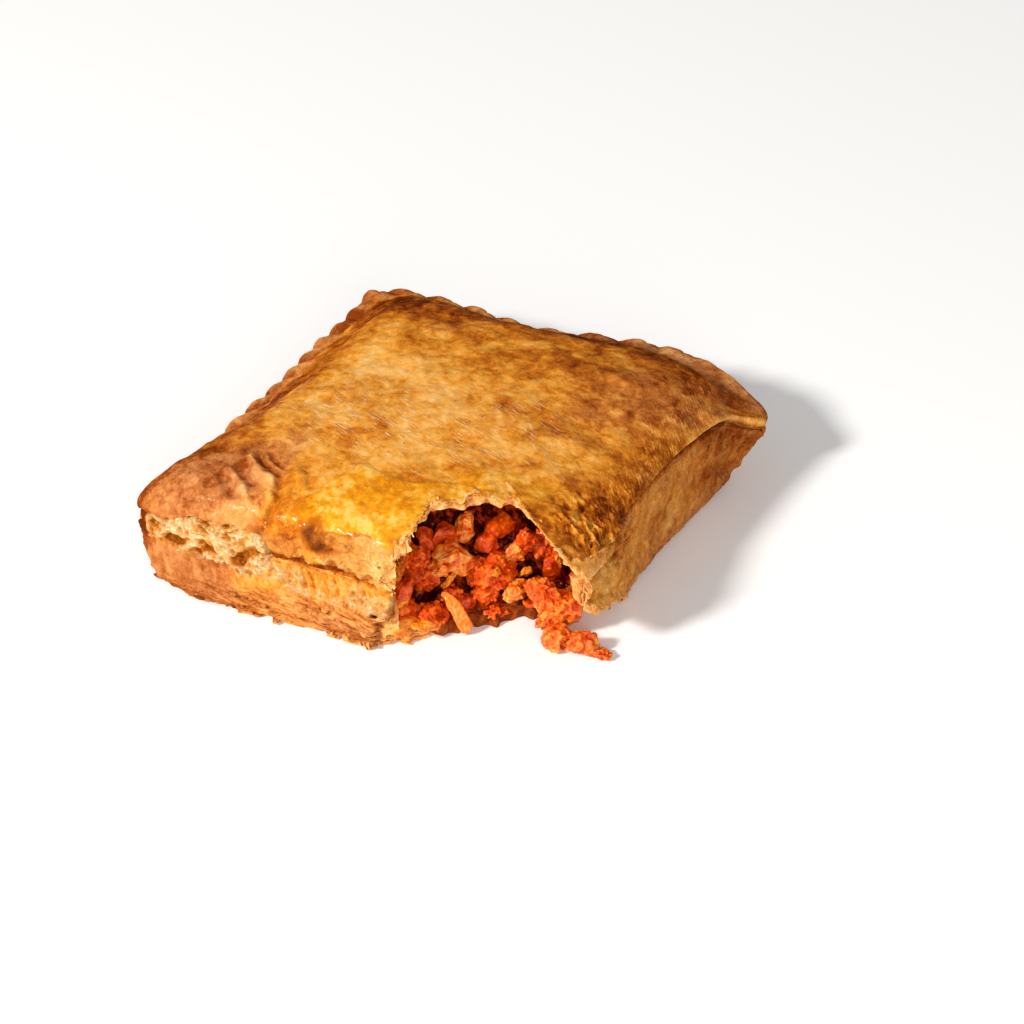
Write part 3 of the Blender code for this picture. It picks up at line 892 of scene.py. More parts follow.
def makeLid(sheet, material):
    rim = squareRim(lid["cells"])
    points, triangles, values = closeShell(*sheet, rim, "lidInside", case["crown"])
    normals = vertexNormals(points, triangles)
    edge = np.where(values["crust"] > 0.5, skinLip(points), 9.0)
    points, triangles, values = splitAt(points, triangles, values, edge, -normals * lid["skinStep"])
    edge = np.where(values["crust"] > 0.5, wallSkinLine(points), 9.0)
    drop = np.zeros_like(points)
    drop[:, 1] = lid["recess"]
    points, triangles, values = splitAt(points, triangles, values, edge, drop)

    def reachOf(along, height):
        overLip = between(along, -32, 20, 5, 6)
        rough = fromTear(along, tearReach(along, height), height)
        back = lid["setBack"] + lid["undercut"] * np.clip(lid["undercutTop"] - height, 0, 6) * overLip
        back = back + tear["scoop"] * leftScoop(along, height) + 0.5 * fractal(rough, 2.2, 3, 5)
        return tearReach(along, height) - back * tearSteep(along, height)

    return tornShell("crust_lid", points, triangles, values, reachOf, material)


tray = {
    "cells": 250,
    "setBack": 1.2,
    "recess": 3.0,
    "coverStart": 2.965,  # places between which the south wall sits back behind its own cover
    "coverEnd": 3.85,
    "swells": ((0.6, 11, 3, 31), (0.24, 3, 3, 33)),
}


def trayFolds(points, place):  # the east wall's crumple and its torn area, and the folds and leaves in them
    x, y, z = points.T
    east = place <= 1
    crumple = east * ease(1.5 * spot(y, z, (-22, 21), (10, 5)))
    torn = east * ease(1.6 * spot(y, z, (-40, 12), (13, 12)) - 0.1)
    folds = ridged(np.stack([x, y * 0.35 + z, z * 0.6 - y * 0.2], -1), 4.0, 3, 38)
    steps = 2.6 * fractal(np.stack([x, y * 0.7, z], -1), 4.2, 3, 39)
    return crumple, torn, folds, steps


def traySheet():
    points, place, inward = squareSheet("trayOutside", 0.0, tray["cells"], seamDrop=case["gap"])
    triangles, normals = facingAlong(points, squareTriangles(tray["cells"]), 2, -1)
    x, y, z = points.T
    east = place <= 1
    crumple, torn, folds, steps = trayFolds(points, place)
    leaves = terraces(steps)
    ripple = ridged(np.stack([x, y + 0.6 * z, z * 0.3], -1), 7, 3, 37)
    relief = layers(points, tray["swells"])
    relief = relief + east * ease((16 - z) / 10) * ease(z / 5) * (1.3 * ripple - 0.6)
    relief = relief + crumple * (1.3 * folds - 0.6) + torn * (0.8 * leaves - 0.2)
    flange = crimpStrength(place) * ease((6 - inward) / 3)
    relief = relief + flange * (1.0 * lobe(place, -0.4 * inward / 6) - 0.7)
    points = points + normals * (relief * ease(z / 2.5) * ease(inward / 2 + 0.2))[:, None]
    covered = between(place, tray["coverStart"], tray["coverEnd"], 0.02, 0.1)
    recess = tray["recess"] * covered * ease((inward - 0.6) / 1.5)
    points = keepAbove(points - normals * (recess * ease(z / 0.8))[:, None], 0.0)

    bake = 0.50 + 0.14 * fractal(points, 16, 2, 35) + 0.10 * (place > 1) * (place < 3)
    # the east wall is darker, painted shade for the side away from the key light and along its foot by the
    # table, and darker again towards the north
    bake = bake + 0.05 * east + 0.18 * east * ease((y + 5) / 45) + 0.12 * ease((2.5 - z) / 2.5) * east
    # the crumple is browner, with its crests painted paler as a painted highlight
    bake = bake + crumple * (0.42 - 0.35 * folds)
    # painted shade in the crease under the lid's east edge
    bake = bake + 0.35 * east * ease((1.0 - inward) / 0.6)
    # the torn leaves are darker in the groove at each step's foot: painted shade
    bake = mix(bake, 0.30 - 0.10 * leaves + 0.2 * stepGrooveShade(steps), torn)
    rosy = 0.5 * (place > 1) + 0.5 * east + 0.3 * east * ease((10 - z) / 6)
    values = {
        "bake": bake,
        "saffron": 0 * x,
        "stain": 0 * x,
        "glaze": 0.1 * (1 - torn),
        "rosy": np.clip(rosy, 0, 1) * (1 - 0.3 * torn),
        "streak": 0 * x,
        "ribs": 0.4 * crumple,
        "flaky": np.clip(0.35 * east + torn, 0, 1),
        "side": east * (1 - 0.6 * torn),
        "crust": np.ones(len(x)),
        "layer": 0 * x,
    }
    return points, triangles, values


def makeTray(sheet, material):
    rim = squareRim(tray["cells"])
    points, triangles, values = closeShell(*sheet, rim, "trayInside", case["floor"], case["gap"])

    def reachOf(along, height):
        rough = fromTear(along, tearReach(along, height), height)
        back = mix(0.9, tray["setBack"], ease((height - 2) / 4)) + tear["scoop"] * leftScoop(along, height)
        back = back + mix(0.3, 0.8, ease((height - 2) / 3)) * fractal(rough, 2.6, 3, 6)
        return tearReach(along, height) - back * tearSteep(along, height)

    return tornShell("crust_tray", points, triangles, values, reachOf, material)


cutWall = {
    "columns": 300,
    "rows": 104,
    "ringSize": 2400,
    "start": 2.925,  # places, from round the corner of the west side
    "end": 3.66,
    "back": 3.0,
    "deepest": -3.4,
    "cavities": (  # x, height, half width, half height, depth
        (-51.5, 14.6, 2.6, 1.3, 1.6), (-33.0, 13.2, 1.7, 1.1, 1.4), (-42.0, 15.4, 2.0, 1.6, 0.7),
        (-28.5, 17.5, 1.4, 1.2, 0.8),
    ),
    "frayed": ((1.8, 5, 3, 70), (1.5, 1.7, 3, 75)),  # the crumb's lower edge
    "uneven": ((0.45, 6, 3, 77), (0.16, 1.3, 2, 79)),  # the closed crust
}


def crumbFloor(x):  # lower edge of the open crumb
    return mix(11.5, 9.0, ease((x + 42) / 16)) + 2.6 * ease((-48 - x) / 9)


def crumbRelief(base):  # torn films and threads, small pits and a few deeper hollows
    x, z = base[:, 0], base[:, 2]
    warp = base + 1.2 * np.stack([fractal(base, 4, 2, 61), 0 * x, fractal(base, 4, 2, 64)], -1)
    flat = np.stack([warp[:, 0] * 0.75, 0 * x, warp[:, 2] * 1.1], -1)
    near, second = worley(flat / 2.1, 3)
    small, smallSecond = worley(flat / 0.95 + 40.0, 5)
    films = ridged(flat, 4.2, 4, 66)
    bubble = ease((second - near) / 0.45) * ease(fractal(base, 7, 2, 67) * 1.6 + 0.35)
    pits = ease((smallSecond - small) / 0.4) * ease(fractal(base, 4, 2, 65) * 2 + 0.5)
    relief = 0.1 + 0.9 * films - 0.9 * bubble - 0.5 * pits + 0.35 * fractal(base, 1.3, 2, 68)
    for hollowX, hollowZ, wide, high, deep in cutWall["cavities"]:
        hollow = spot(x, z, (hollowX, hollowZ), (wide, high), 0.1)
        relief = relief - deep * ease(1.6 * hollow * (1 + 0.5 * films))
    return relief


def crumbShare(base, place):  # 1 where the crumb lies open, 0 on closed crust
    x, z = base[:, 0], base[:, 2]
    share = ease((lid["crumbEnd"] + 0.5 + 2.2 * fractal(base, 5, 3, 69) - x) / 1.6)
    share = share * ease((place - 2.98) / 0.03) * ease((x + 60.6) / 1.2)
    share = share * ease((z - crumbFloor(x) - layers(base, cutWall["frayed"])) / 1.2)
    patches = ease(3.0 * fractal(base, 4.0, 3, 90) + 0.25) * between(z, 7.5, 16, 3, 2) * ease((x + 27) / 3)
    return np.maximum(share, 0.75 * patches)


def makeCutWall(material):
    places = np.arange(cutWall["ringSize"]) * 4 / cutWall["ringSize"]
    lidRings = wallRings("lidOutside", case["crown"], places)
    trayRings = wallRings("trayOutside", 0.0, places, seamDrop=case["gap"])
    rows = np.concatenate([lidRings[4:0:-1], trayRings[1:], 2 * trayRings[-1:] - trayRings[-2:-1]])
    place, at = np.meshgrid(
        np.linspace(cutWall["start"], cutWall["end"], cutWall["columns"]),
        np.linspace(0, rowLength(rows) - 0.01, cutWall["rows"]),
    )
    base = smoothRows(rows, place.ravel(), at.ravel())
    place = place.ravel()
    triangles, normals = facingAlong(base, netTriangles(*at.shape), 1, -1)
    x, z = base[:, 0], base[:, 2]
    crumbHeight, crumb = crumbRelief(base), crumbShare(base, place)

    # a closed crust that breaks up into lying leaves towards the table, and standing ones to the tear
    slope = z + 0.12 * x
    lying = 2.6 * fractal(np.stack([x / 8, 0 * x, slope / 1.5], -1), 1.0, 3, 71)
    standing = 2.6 * fractal(np.stack([(x + 0.5 * z) / 2.2, 0 * x, z / 6], -1), 1.0, 3, 72)
    leaves, upright = (terraces(steps, 4, 1.5) / 2.6 for steps in (lying, standing))
    threads = ridged(np.stack([x / 2.2, 0 * x, slope], -1), 2.4, 2, 76)
    flaky = ease((10.5 - z + 0.12 * (x + 20)) / 5)
    toTear = (1 - flaky) * ease((x + 30) / 8)
    closed = (0.25 + 0.75 * flaky) * leaves * 1.1 + toTear * upright * 0.8 + layers(base, cutWall["uneven"])
    closed = closed + 0.5 * flaky * threads * ease((x + 8) / 12)
    height = mix(closed, crumbHeight, crumb)

    # its edges run in under the skin, round the corner and under the lid
    fromEnd = x - lid["crumbEnd"]
    height = height - 1.3 * ease((z - wallEdge(x) + 1.2) / 1.6) * (fromEnd < 0)
    height = height - 3.4 * ease((2.945 - place) / 0.02)
    height = height - 3.0 * ease((3.0 - place) / 0.02) * ease((z - 15.2) / 0.8)
    height = height - (2.8 * ease((z - 16.5) / 0.8) + 1.2 * band(z, 16.2, 0.45)) * ease(fromEnd / 2)
    height = height * ease(z / 1.2)
    points = keepAbove(base + normals * np.maximum(height, cutWall["deepest"])[:, None], 0.05)
    west = ease((-30 - x) / 10)
    foot = ease((7 - z) / 4) * ease((x + 14) / 12)
    bake = mix(0.40, 0.68, west) + 0.10 * flaky + 0.18 * foot + 0.12 * fractal(base, 9, 3, 82)
    # painted shade where the wall runs in under the lid and round the west corner, and in the groove at each
    # step's foot
    bake = bake + 0.4 * (x > -25) * ease((z - 15.6) / 0.6) + 0.5 * ease((-59.6 - x) / 1.6)
    bake = bake + 0.20 * flaky * stepGrooveShade(lying) + 0.16 * toTear * stepGrooveShade(standing)
    values = {
        "crumb": crumb,
        # how deep the crumb lies, which its material paints darker as shade
        "hollow": crumb * np.clip(0.35 - crumbHeight / 2.4, 0, 1),
        "flaky": flaky,
        "lift": np.clip(closed * 0.6 + 0.5, 0, 1),
        "bake": bake,
        "rosy": np.clip(0.9 * west * ease((14 - z) / 3) + 0.6 * foot + 0.5 * flaky + 0.15, 0, 1),
    }
    under = keepAbove(base - normals * cutWall["back"], 0.1)
    edge = tearGap(points) - 0.3 - 1.0 * fractal(base, 2.2, 3, 84)
    points, triangles, values = splitAt(points, triangles, carry(values, under), edge)
    under = uncarry(values)
    points, triangles, values = thicken(points, triangles, values, under)
    print("crust_cut_wall:", len(triangles), "faces")
    return addPiece("crust_cut_wall", points, facingOut(points, triangles), values, material)


leafStack = {  # the leaves of pastry that show in the torn edge, from the outside in
    "count": 10,
    "first": 0.2,
    "pitch": 0.42,
    "thickness": 0.2,
    "root": 6.0,
    "curl": 1.1,
    "sharpAngle": 50,
    "lidEnds": (0.4, 0.1, 0.5, 0.0, 0.6, 0.2, 0.5, 0.1, 0.7, 1.2),  # each leaf's end behind the torn edge
    "trayEnds": (0.5, 0.1, 0.8, 0.3, 0.6, 0.2, 0.7, 0.9, 1.3, 1.6),
    "onFloor": 4.8,  # how much further back the tray's leaves end where they lie on the table
}


def makeLeaves(name, sheet, ends, material, seed):
    points, triangles, values = sheet
    normals = vertexNormals(points, triangles)
    near = np.abs(tearGap(points) - 2.5) < leafStack["root"]
    points, triangles, extra = pick(points, triangles, carry({}, normals), near[triangles].all(axis=1))
    normals = uncarry(extra)
    parts = []
    for k in range(leafStack["count"]):
        depth = leafStack["first"] + k * leafStack["pitch"]
        placed = points - normals * depth
        behind = tearGap(placed)
        along = tearFrame(placed)[0]
        ragged = mix(1.2, 0.5, ease((7 - placed[:, 2]) / 4))
        end = ends(placed, k) + ragged * fractal(placed, 3.0, 4, seed + 10 * k, 0.7)
        end = end + tear["scoop"] * leftScoop(along, placed[:, 2])
        tip = ease(1 - (behind - end) / 3.0)
        curl = leafStack["curl"] * fractal(placed, 4.0, 3, seed + 10 * k + 7) * tip
        placed = keepAbove(placed + normals * curl[:, None], 0.4)
        z = placed[:, 2]
        onFloor = between(along, -27, 16, 5, 5) * ease((6 - z) / 3)
        leaf = {
            "tip": tip,
            "depth": np.full(len(placed), k / leafStack["count"]),
            "sauced": np.clip(onFloor + leftScoop(along, z), 0, 1),
            "toast": ease((7 - z) / 4) * ease((-29 - along) / 3) + 0.7 * ease((along - 6) / 5),
        }
        top, faces, leaf = splitAt(placed, triangles, carry(leaf, normals), behind - end)
        under = keepAbove(top - uncarry(leaf) * leafStack["thickness"], 0.05)
        parts.append(thicken(top, faces, leaf, under))
    points, triangles, values = joined(parts)
    print(name + ":", len(triangles), "faces")
    return addPiece(name, points, triangles, values, material, leafStack["sharpAngle"])


def lidLeafEnds(points, k):
    overLip = between(tearFrame(points)[0], -32, 14, 5, 6)
    depth = leafStack["first"] + k * leafStack["pitch"]
    return mix(leafStack["lidEnds"][k], 0.25 + lid["undercut"] * depth * 0.9, overLip)


def trayLeafEnds(points, k):
    onFloor = between(tearFrame(points)[0], -24, 10, 4, 4) * ease((5 - points[:, 2]) / 2)
    return leafStack["trayEnds"][k] + leafStack["onFloor"] * onFloor


filling = {
    "setBack": 3.4,  # of the sauce behind the lumps' own face
    "step": 0.4,
    "ringSize": 480,
    "turn": 0.785,  # the face looks out of the torn corner
    "chicken": (  # along the tear, height, how far proud of the face, radii, turn, lean
        (-16.6, 17.4, 4.6, (6.4, 3.8, 4.6), 0.1, 0.15),
        (-21.4, 16.8, 3.6, (3.2, 2.6, 3.4), 0.3, 0.5),
        (-0.6, 14.8, 1.4, (4.6, 2.6, 2.6), -0.3, -0.6),
        (-1.8, 7.4, 3.4, (4.8, 3.0, 2.6), 0.1, 0.1),
        (-12.4, 22.8, 0.6, (3.2, 2.8, 4.2), 0.2, 0.3),
        (4.4, 6.4, 2.6, (3.0, 2.4, 2.2), 0.8, -0.2),
    ),
    "pepper": (
        (-6.8, 17.8, 0.6, (3.4, 2.8, 3.6), 0.1, 0.2),
        (-18.8, 22.2, 1.4, (3.4, 2.6, 3.2), 0.5, 0.3),
        (-23.6, 22.2, 1.0, (2.8, 2.4, 3.4), 0.1, -0.3),
        (-3.0, 20.6, -1.8, (4.6, 2.8, 2.8), 0.2, 0.1),
        (8.8, 9.4, 0.2, (2.6, 2.2, 4.0), 0.1, 0.3),
        (-27.4, 13.4, 1.6, (3.4, 3.0, 4.0), 0.0, 0.4),
        (-32.0, 12.6, 3.4, (3.2, 2.6, 3.8), 0.4, 0.2),
        (-14.6, 4.6, -1.4, (3.0, 2.4, 2.6), 0.3, 0.3),
    ),
    "mince": (
        (-6.4, 12.0, 2.2, (6.6, 3.8, 4.2), 0.1, -0.25),
        (-10.6, 12.6, 1.4, (3.0, 2.8, 3.8), 0.2, 0.5),
        (-9.0, 7.0, 2.2, (3.6, 2.8, 2.8), 0.5, 0.4),
        (7.8, 15.2, 0.6, (3.2, 2.8, 4.2), 0.1, 0.2),
        (3.2, 17.0, -0.4, (3.2, 2.6, 3.0), 0.6, 0.4),
        (10.6, 12.4, 0.4, (2.4, 2.2, 3.2), 0.3, 0.4),
        (-30.0, 18.6, 2.8, (3.4, 3.0, 4.6), 0.3, 0.35),
        (-25.6, 18.4, 1.4, (2.8, 2.6, 3.8), 0.9, 0.2),
        (-23.4, 12.6, 0.8, (4.2, 3.2, 4.0), 0.2, 0.5),
        (-24.6, 4.8, 3.2, (4.8, 3.6, 2.8), 0.3, 0.0),
        (-31.4, 6.8, 3.4, (3.4, 3.0, 3.6), 0.3, 0.0),
        (-18.4, 6.8, 1.0, (3.0, 2.6, 3.6), 0.3, 0.3),
        (4.0, 3.4, 3.6, (4.4, 3.0, 1.8), 0.5, 0.0),
        (-8.0, 2.9, 3.4, (4.6, 2.4, 1.1), 0.4, 0.0),
    ),
    "onion": (
        (-32.6, 9.6, 4.2, (2.6, 1.4, 2.0), 0.4, 0.3),
        (-32.4, 4.6, 5.2, (4.2, 2.4, 2.0), 0.3, 0.1),
        (-27.4, 4.2, 6.0, (4.2, 1.9, 1.5), 0.3, 0.1),
        (10.4, 10.8, 1.4, (1.2, 0.8, 3.4), 0.1, 0.2),
        (-7.2, 13.6, 4.0, (1.6, 0.9, 1.2), 0.3, 0.4),
        (-19.0, 12.8, 2.4, (1.0, 0.8, 3.0), 0.6, 0.5),
        (1.6, 10.4, 2.4, (1.6, 0.9, 1.4), 0.4, 0.7),
    ),
    "hanging": (  # middle, radii, turn
        ((43.8, -38.4, 9.4), (4.0, 3.6, 4.2), 0.3),
        ((47.4, -37.4, 8.2), (3.9, 3.4, 4.4), 0.9),
        ((44.6, -40.2, 5.4), (3.2, 2.8, 3.2), 0.5),
        ((39.8, -36.6, 10.4), (3.6, 3.4, 3.0), 0.9),
    ),
    "fallen": (
        ((48.6, -43.4, 3.2), (4.8, 3.6, 3.2), 0.3),
        ((53.8, -42.2, 2.7), (5.6, 3.2, 2.6), 0.25),
        ((59.0, -42.2, 1.2), (4.4, 1.7, 1.3), 0.0),
    ),
    "strip": {  # its two ends along the tear, their height and how far proud they are
        "from": (-21.0, 10.4, 3.0),
        "to": (-16.4, 0.8, 6.6),
        "width": 3.6,
        "depth": 1.6,
        "bow": (0.7, -0.4, 0.8),
        "side": (0.75, 0.6, 0.1),
        "rings": 40,
        "around": 32,
        "narrowest": 0.45,
    },
}
lumpShapes = {  # mesh level, how square and rough, cuts and how clean they are, threads and grain in mm
    "plain": {
        "level": 4, "boxy": 2.4, "rough": 0.2, "cuts": 6, "keen": 0.85,
        "crests": 0.5, "fibre": 0.0, "grain": 0.0,
    },
    "chicken": {"level": 5, "boxy": 2.7, "cuts": 10, "crests": 0.15, "fibre": 0.3, "grain": 0.05},
    "pepper": {"boxy": 3.0, "rough": 0.12, "cuts": 7, "keen": 0.9, "grain": 0.04},
    "mince": {"rough": 0.28, "cuts": 4, "keen": 0.6, "grain": 0.14},
    "onion": {"boxy": 3.5, "rough": 0.12, "cuts": 3},
    "loose": {"level": 5, "rough": 0.28, "cuts": 4, "keen": 0.6, "grain": 0.14},
}


def unitSphere(level):
    ball = bmesh.new()
    bmesh.ops.create_icosphere(ball, subdivisions=level, radius=1.0)
    points = np.array([vert.co[:] for vert in ball.verts])
    triangles = np.array([[vert.index for vert in face.verts] for face in ball.faces])
    ball.free()
    return points, triangles


def chopped(body, seed, cuts, keen):  # flattened where it was cut or pulled apart
    rng = np.random.default_rng(seed)
    for _ in range(cuts):
        way = rng.normal(size=3)
        way /= np.linalg.norm(way)
        along = body @ way
        over = np.maximum(along - along.max() * rng.uniform(0.5, 0.85), 0)
        body = body - way * (over * keen)[:, None]
    return body


def lump(centre, radii, turn, lean, seed, kind):
    shape = lumpShapes["plain"] | lumpShapes[kind]
    boxy, rough, fibre = shape["boxy"], shape["rough"], shape["fibre"]
    ball, triangles = unitSphere(shape["level"])
    size = float(np.mean(radii))
    body = ball * (np.abs(ball) ** boxy).sum(-1, keepdims=True) ** (-1 / boxy) * radii
    bent = np.stack([fractal(body + 31.0 * k + seed * 7.7, size * 1.3, 2, seed + k) for k in range(3)], -1)
    body = chopped(body + bent * size * 0.35, seed, shape["cuts"], shape["keen"])
    knobs = fractal(body + seed * 3.1, size * 0.5, 3, seed + 3)
    crest = ridged(body + seed * 1.3, size * 0.7, 3, seed + 4)
    height = rough * size * (0.6 * knobs + shape["crests"] * (crest - 0.5))
    if fibre:
        threads = ridged(np.stack([body[:, 0] / 3.5, body[:, 1], body[:, 2]], -1), 1.7, 2, seed + 5)
        height = height + fibre * (threads - 0.5)
    if shape["grain"]:
        height = height + shape["grain"] * fractal(body, 0.8, 2, seed + 9)
    body = body + ball * height[:, None]
    spin = np.array(Euler((lean, lean * 0.6, turn)).to_matrix())
    points = body @ spin.T + np.array(centre)
    high = 0.5 + height / (rough * size * 1.2 + fibre * 1.2 + 0.1)
    return points, triangles, {"high": np.clip(high, 0, 1), "seed": np.full(len(ball), (seed * 0.37) % 1)}


def onFace(along, height, proud, radii):
    reach = faceReach(along, height) + proud - float(np.mean(radii)) * 0.45
    return fromTear(np.array(along), np.array(reach), np.array(height)).ravel()


def addLumps(name, lumps, material, lowest):
    points, triangles, values = joined(lumps)
    return addPiece(name, keepAbove(points, lowest), triangles, values, material)


def makeLumps(kind, material, seed):  # pieces of filling that look out of the tear
    lumps = []
    for k, (along, height, proud, radii, turn, lean) in enumerate(filling[kind]):
        centre = onFace(along, height, proud, radii)
        lumps.append(lump(centre, radii, turn + filling["turn"], lean, seed + k, kind))
    return addLumps("filling_" + kind, lumps, material, 0.3)


def makePile(pile, material, seed, lowest):  # loose pieces, each at its own place
    rows = enumerate(filling[pile])
    lumps = [lump(centre, radii, turn, 0.0, seed + k, "loose") for k, (centre, radii, turn) in rows]
    return addLumps("filling_" + pile, lumps, material, lowest)


def makeSauce(material):
    size = filling["ringSize"]
    places = np.arange(size) * 4 / size
    above = wallRings("lidInside", case["crown"], places) * (0.98, 0.98, 1) - (0, 0, 1.0)
    below = wallRings("trayInside", case["floor"], places, case["gap"])[1:] * (0.98, 0.98, 1) + (0, 0, 0.4)
    rings = np.concatenate([above[::-1], below])
    hubs = np.stack([rings[0].mean(axis=0), rings[-1].mean(axis=0)])
    points = np.concatenate([rings.reshape(-1, 3), hubs])
    triangles = facingOut(points, closedTube(len(rings), size))
    piece = addPiece("filling_sauce", points, triangles, {}, material)

    def reachOf(along, height):
        spread = fromTear(along, 0 * along, height)
        near = worley(spread / 5.5, 11)[0]
        pool = 5.5 * ease((6.0 - height) / 3)
        rough = 1.2 * fractal(spread, 2.4, 3, 12)
        return faceReach(along, height) - filling["setBack"] - 2.8 * near + rough + pool

    tearAway(piece, cutterAt("fillingFace", reachOf, filling["step"]))
    piece.data.shade_smooth()
    print("filling_sauce:", len(piece.data.polygons), "faces")
    return piece


def makeStrip(material):
    strip = filling["strip"]
    start, end = (
        fromTear(np.array(along), faceReach(along, height) + proud, np.array(height))
        for along, height, proud in (strip["from"], strip["to"])
    )
    rings, around = strip["rings"], strip["around"]
    t = np.linspace(0, 1, rings)
    angle = np.arange(around) * 2 * math.pi / around
    line = mix(start, end, t[:, None]) + np.array(strip["bow"]) * np.sin(t * math.pi)[:, None]
    forward = (end - start) / np.linalg.norm(end - start)
    side = np.array(strip["side"])
    side = side - forward * side.dot(forward)
    side /= np.linalg.norm(side)
    up = np.cross(forward, side)
    ends = np.clip(np.minimum(t, 1 - t) * 18, 0.03, 1) ** 0.5
    taper = mix(strip["narrowest"], 1.0, ease(t * 2.2)) * ends
    cosine, sine = np.cos(angle), np.sin(angle)
    across = np.sign(cosine) * np.abs(cosine) ** 0.5 * strip["width"] / 2
    deep = np.sign(sine) * np.abs(sine) ** 0.5 * strip["depth"] / 2
    ring = across[None, :, None] * side + deep[None, :, None] * up
    points = (line[:, None] + ring * taper[:, None, None]).reshape(-1, 3)
    points = np.concatenate([points, line[:1], line[-1:]])
    points = points + 0.4 * np.stack([fractal(points, 2.4, 3, seed) for seed in (91, 93, 95)], -1)
    triangles = facingOut(points, closedTube(rings, around))
    values = {"high": 0.7 + 0.3 * fractal(points, 2.0, 2, 97), "seed": np.zeros(len(points))}
    return addPiece("filling_carrot_strip", points, triangles, values, material)


class TreeBuilder:  # a Geometry Nodes tree, wired a node at a time
    def __init__(self, name, inputs):
        self.tree = bpy.data.node_groups.new(name, "GeometryNodeTree")
        self.tree.interface.new_socket("Geometry", in_out="INPUT", socket_type="NodeSocketGeometry")
        self.tree.interface.new_socket("Geometry", in_out="OUTPUT", socket_type="NodeSocketGeometry")
        for label, (kind, value) in inputs.items():
            socket = self.tree.interface.new_socket(label, in_out="INPUT", socket_type="NodeSocket" + kind)
            if value is not None:
                socket.default_value = value
        self.given = self.tree.nodes.new("NodeGroupInput").outputs

    def add(self, kind, settings=None, **inputs):
        node = self.tree.nodes.new(kind)
        for key, value in (settings or {}).items():
            setattr(node, key, value)
        for key, value in inputs.items():
            socket = node.inputs[int(key[2:]) if key.startswith("at") else key.replace("_", " ")]
            if isinstance(value, bpy.types.NodeSocket):
                self.tree.links.new(value, socket)
            else:
                socket.default_value = value
        return node.outputs

    def finish(self, geometry):
        self.tree.links.new(geometry, self.tree.nodes.new("NodeGroupOutput").inputs[0])
        return self.tree


def scatterTree():
    # small lumps or leaves strewn over a host surface where a named mask is strong; the host itself goes
    build = TreeBuilder(
        "scatterOver",
        {
            "Mask": ("String", "crumb"),
            "Per Square Metre": ("Float", 100000.0),
            "Size": ("Float", 0.0008),
            "Shape": ("Vector", (1.0, 0.7, 0.2)),
            "Lie Flat": ("Float", 0.6),
            "Roughness": ("Float", 0.2),
            "Seed": ("Int", 1),
            "Material": ("Material", None),
        },
    )
    given, add = build.given, build.add
    halfTurn = 3.14
    lowest = 0.0001  # metres over the table

    def chance(kind, **inputs):
        return add("FunctionNodeRandomValue", {"data_type": kind}, **inputs)["Value"]

    def times(a, b):
        return add("ShaderNodeMath", {"operation": "MULTIPLY"}, at0=a, at1=b)[0]

    def vectors(operation, **inputs):
        return add("ShaderNodeVectorMath", {"operation": operation}, **inputs)[0]

    host = given["Geometry"]
    mask = add("GeometryNodeInputNamedAttribute", {"data_type": "FLOAT"}, Name=given["Mask"])["Attribute"]
    density = times(mask, given["Per Square Metre"])
    scattered = {"Density": density, "Seed": given["Seed"]}
    spread = add("GeometryNodeDistributePointsOnFaces", None, Mesh=host, **scattered)
    # most lie along the surface and turn about it, the rest stand any way
    turn = chance("FLOAT_VECTOR", at0=(-halfTurn,) * 3, at1=(halfTurn,) * 3)
    free = add("FunctionNodeEulerToRotation", None, Euler=turn)[0]
    facing = add("GeometryNodeInputNormal")["Normal"]
    flat = add("FunctionNodeAlignRotationToVector", {"axis": "Z"}, Vector=facing)[0]
    spin = chance("FLOAT", at2=-halfTurn, at3=halfTurn, Seed=7)
    about = add("FunctionNodeAxisAngleToRotation", None, Axis=(0.0, 0.0, 1.0), Angle=spin)[0]
    laid = add("FunctionNodeRotateRotation", {"rotation_space": "LOCAL"}, Rotation=flat, Rotate_By=about)[0]
    lies = chance("BOOLEAN", Probability=given["Lie Flat"], Seed=3)
    blended = add("GeometryNodeSwitch", {"input_type": "ROTATION"}, Switch=lies, at1=free, at2=laid)[0]
    size = times(chance("FLOAT", at2=0.45, at3=1.25, Seed=5), given["Size"])
    scale = vectors("SCALE", at0=given["Shape"], Scale=size)
    ball = add("GeometryNodeMeshIcoSphere", None, Radius=1.0, Subdivisions=2)["Mesh"]
    pose = {"Rotation": blended, "Scale": scale}
    placed = add("GeometryNodeInstanceOnPoints", None, Points=spread["Points"], Instance=ball, **pose)
    real = add("GeometryNodeRealizeInstances", None, Geometry=placed["Instances"])["Geometry"]
    # each is roughened, and none reaches below the table
    where = add("GeometryNodeInputPosition")["Position"]
    noise = add("ShaderNodeTexNoise", {"noise_dimensions": "3D"}, Vector=where, Scale=900.0, Detail=2.0)
    centred = vectors("SUBTRACT", at0=noise["Color"], at1=(0.5, 0.5, 0.5))
    offset = vectors("SCALE", at0=centred, Scale=times(given["Size"], given["Roughness"]))
    moved = add("GeometryNodeSetPosition", None, Geometry=real, Offset=offset)["Geometry"]
    standing = vectors("MAXIMUM", at0=where, at1=(-1.0, -1.0, lowest))
    moved = add("GeometryNodeSetPosition", None, Geometry=moved, Position=standing)["Geometry"]
    smooth = add("GeometryNodeSetShadeSmooth", None, Geometry=moved)["Geometry"]
    finished = add("GeometryNodeSetMaterial", None, Geometry=smooth, Material=given["Material"])
    return build.finish(finished["Geometry"])


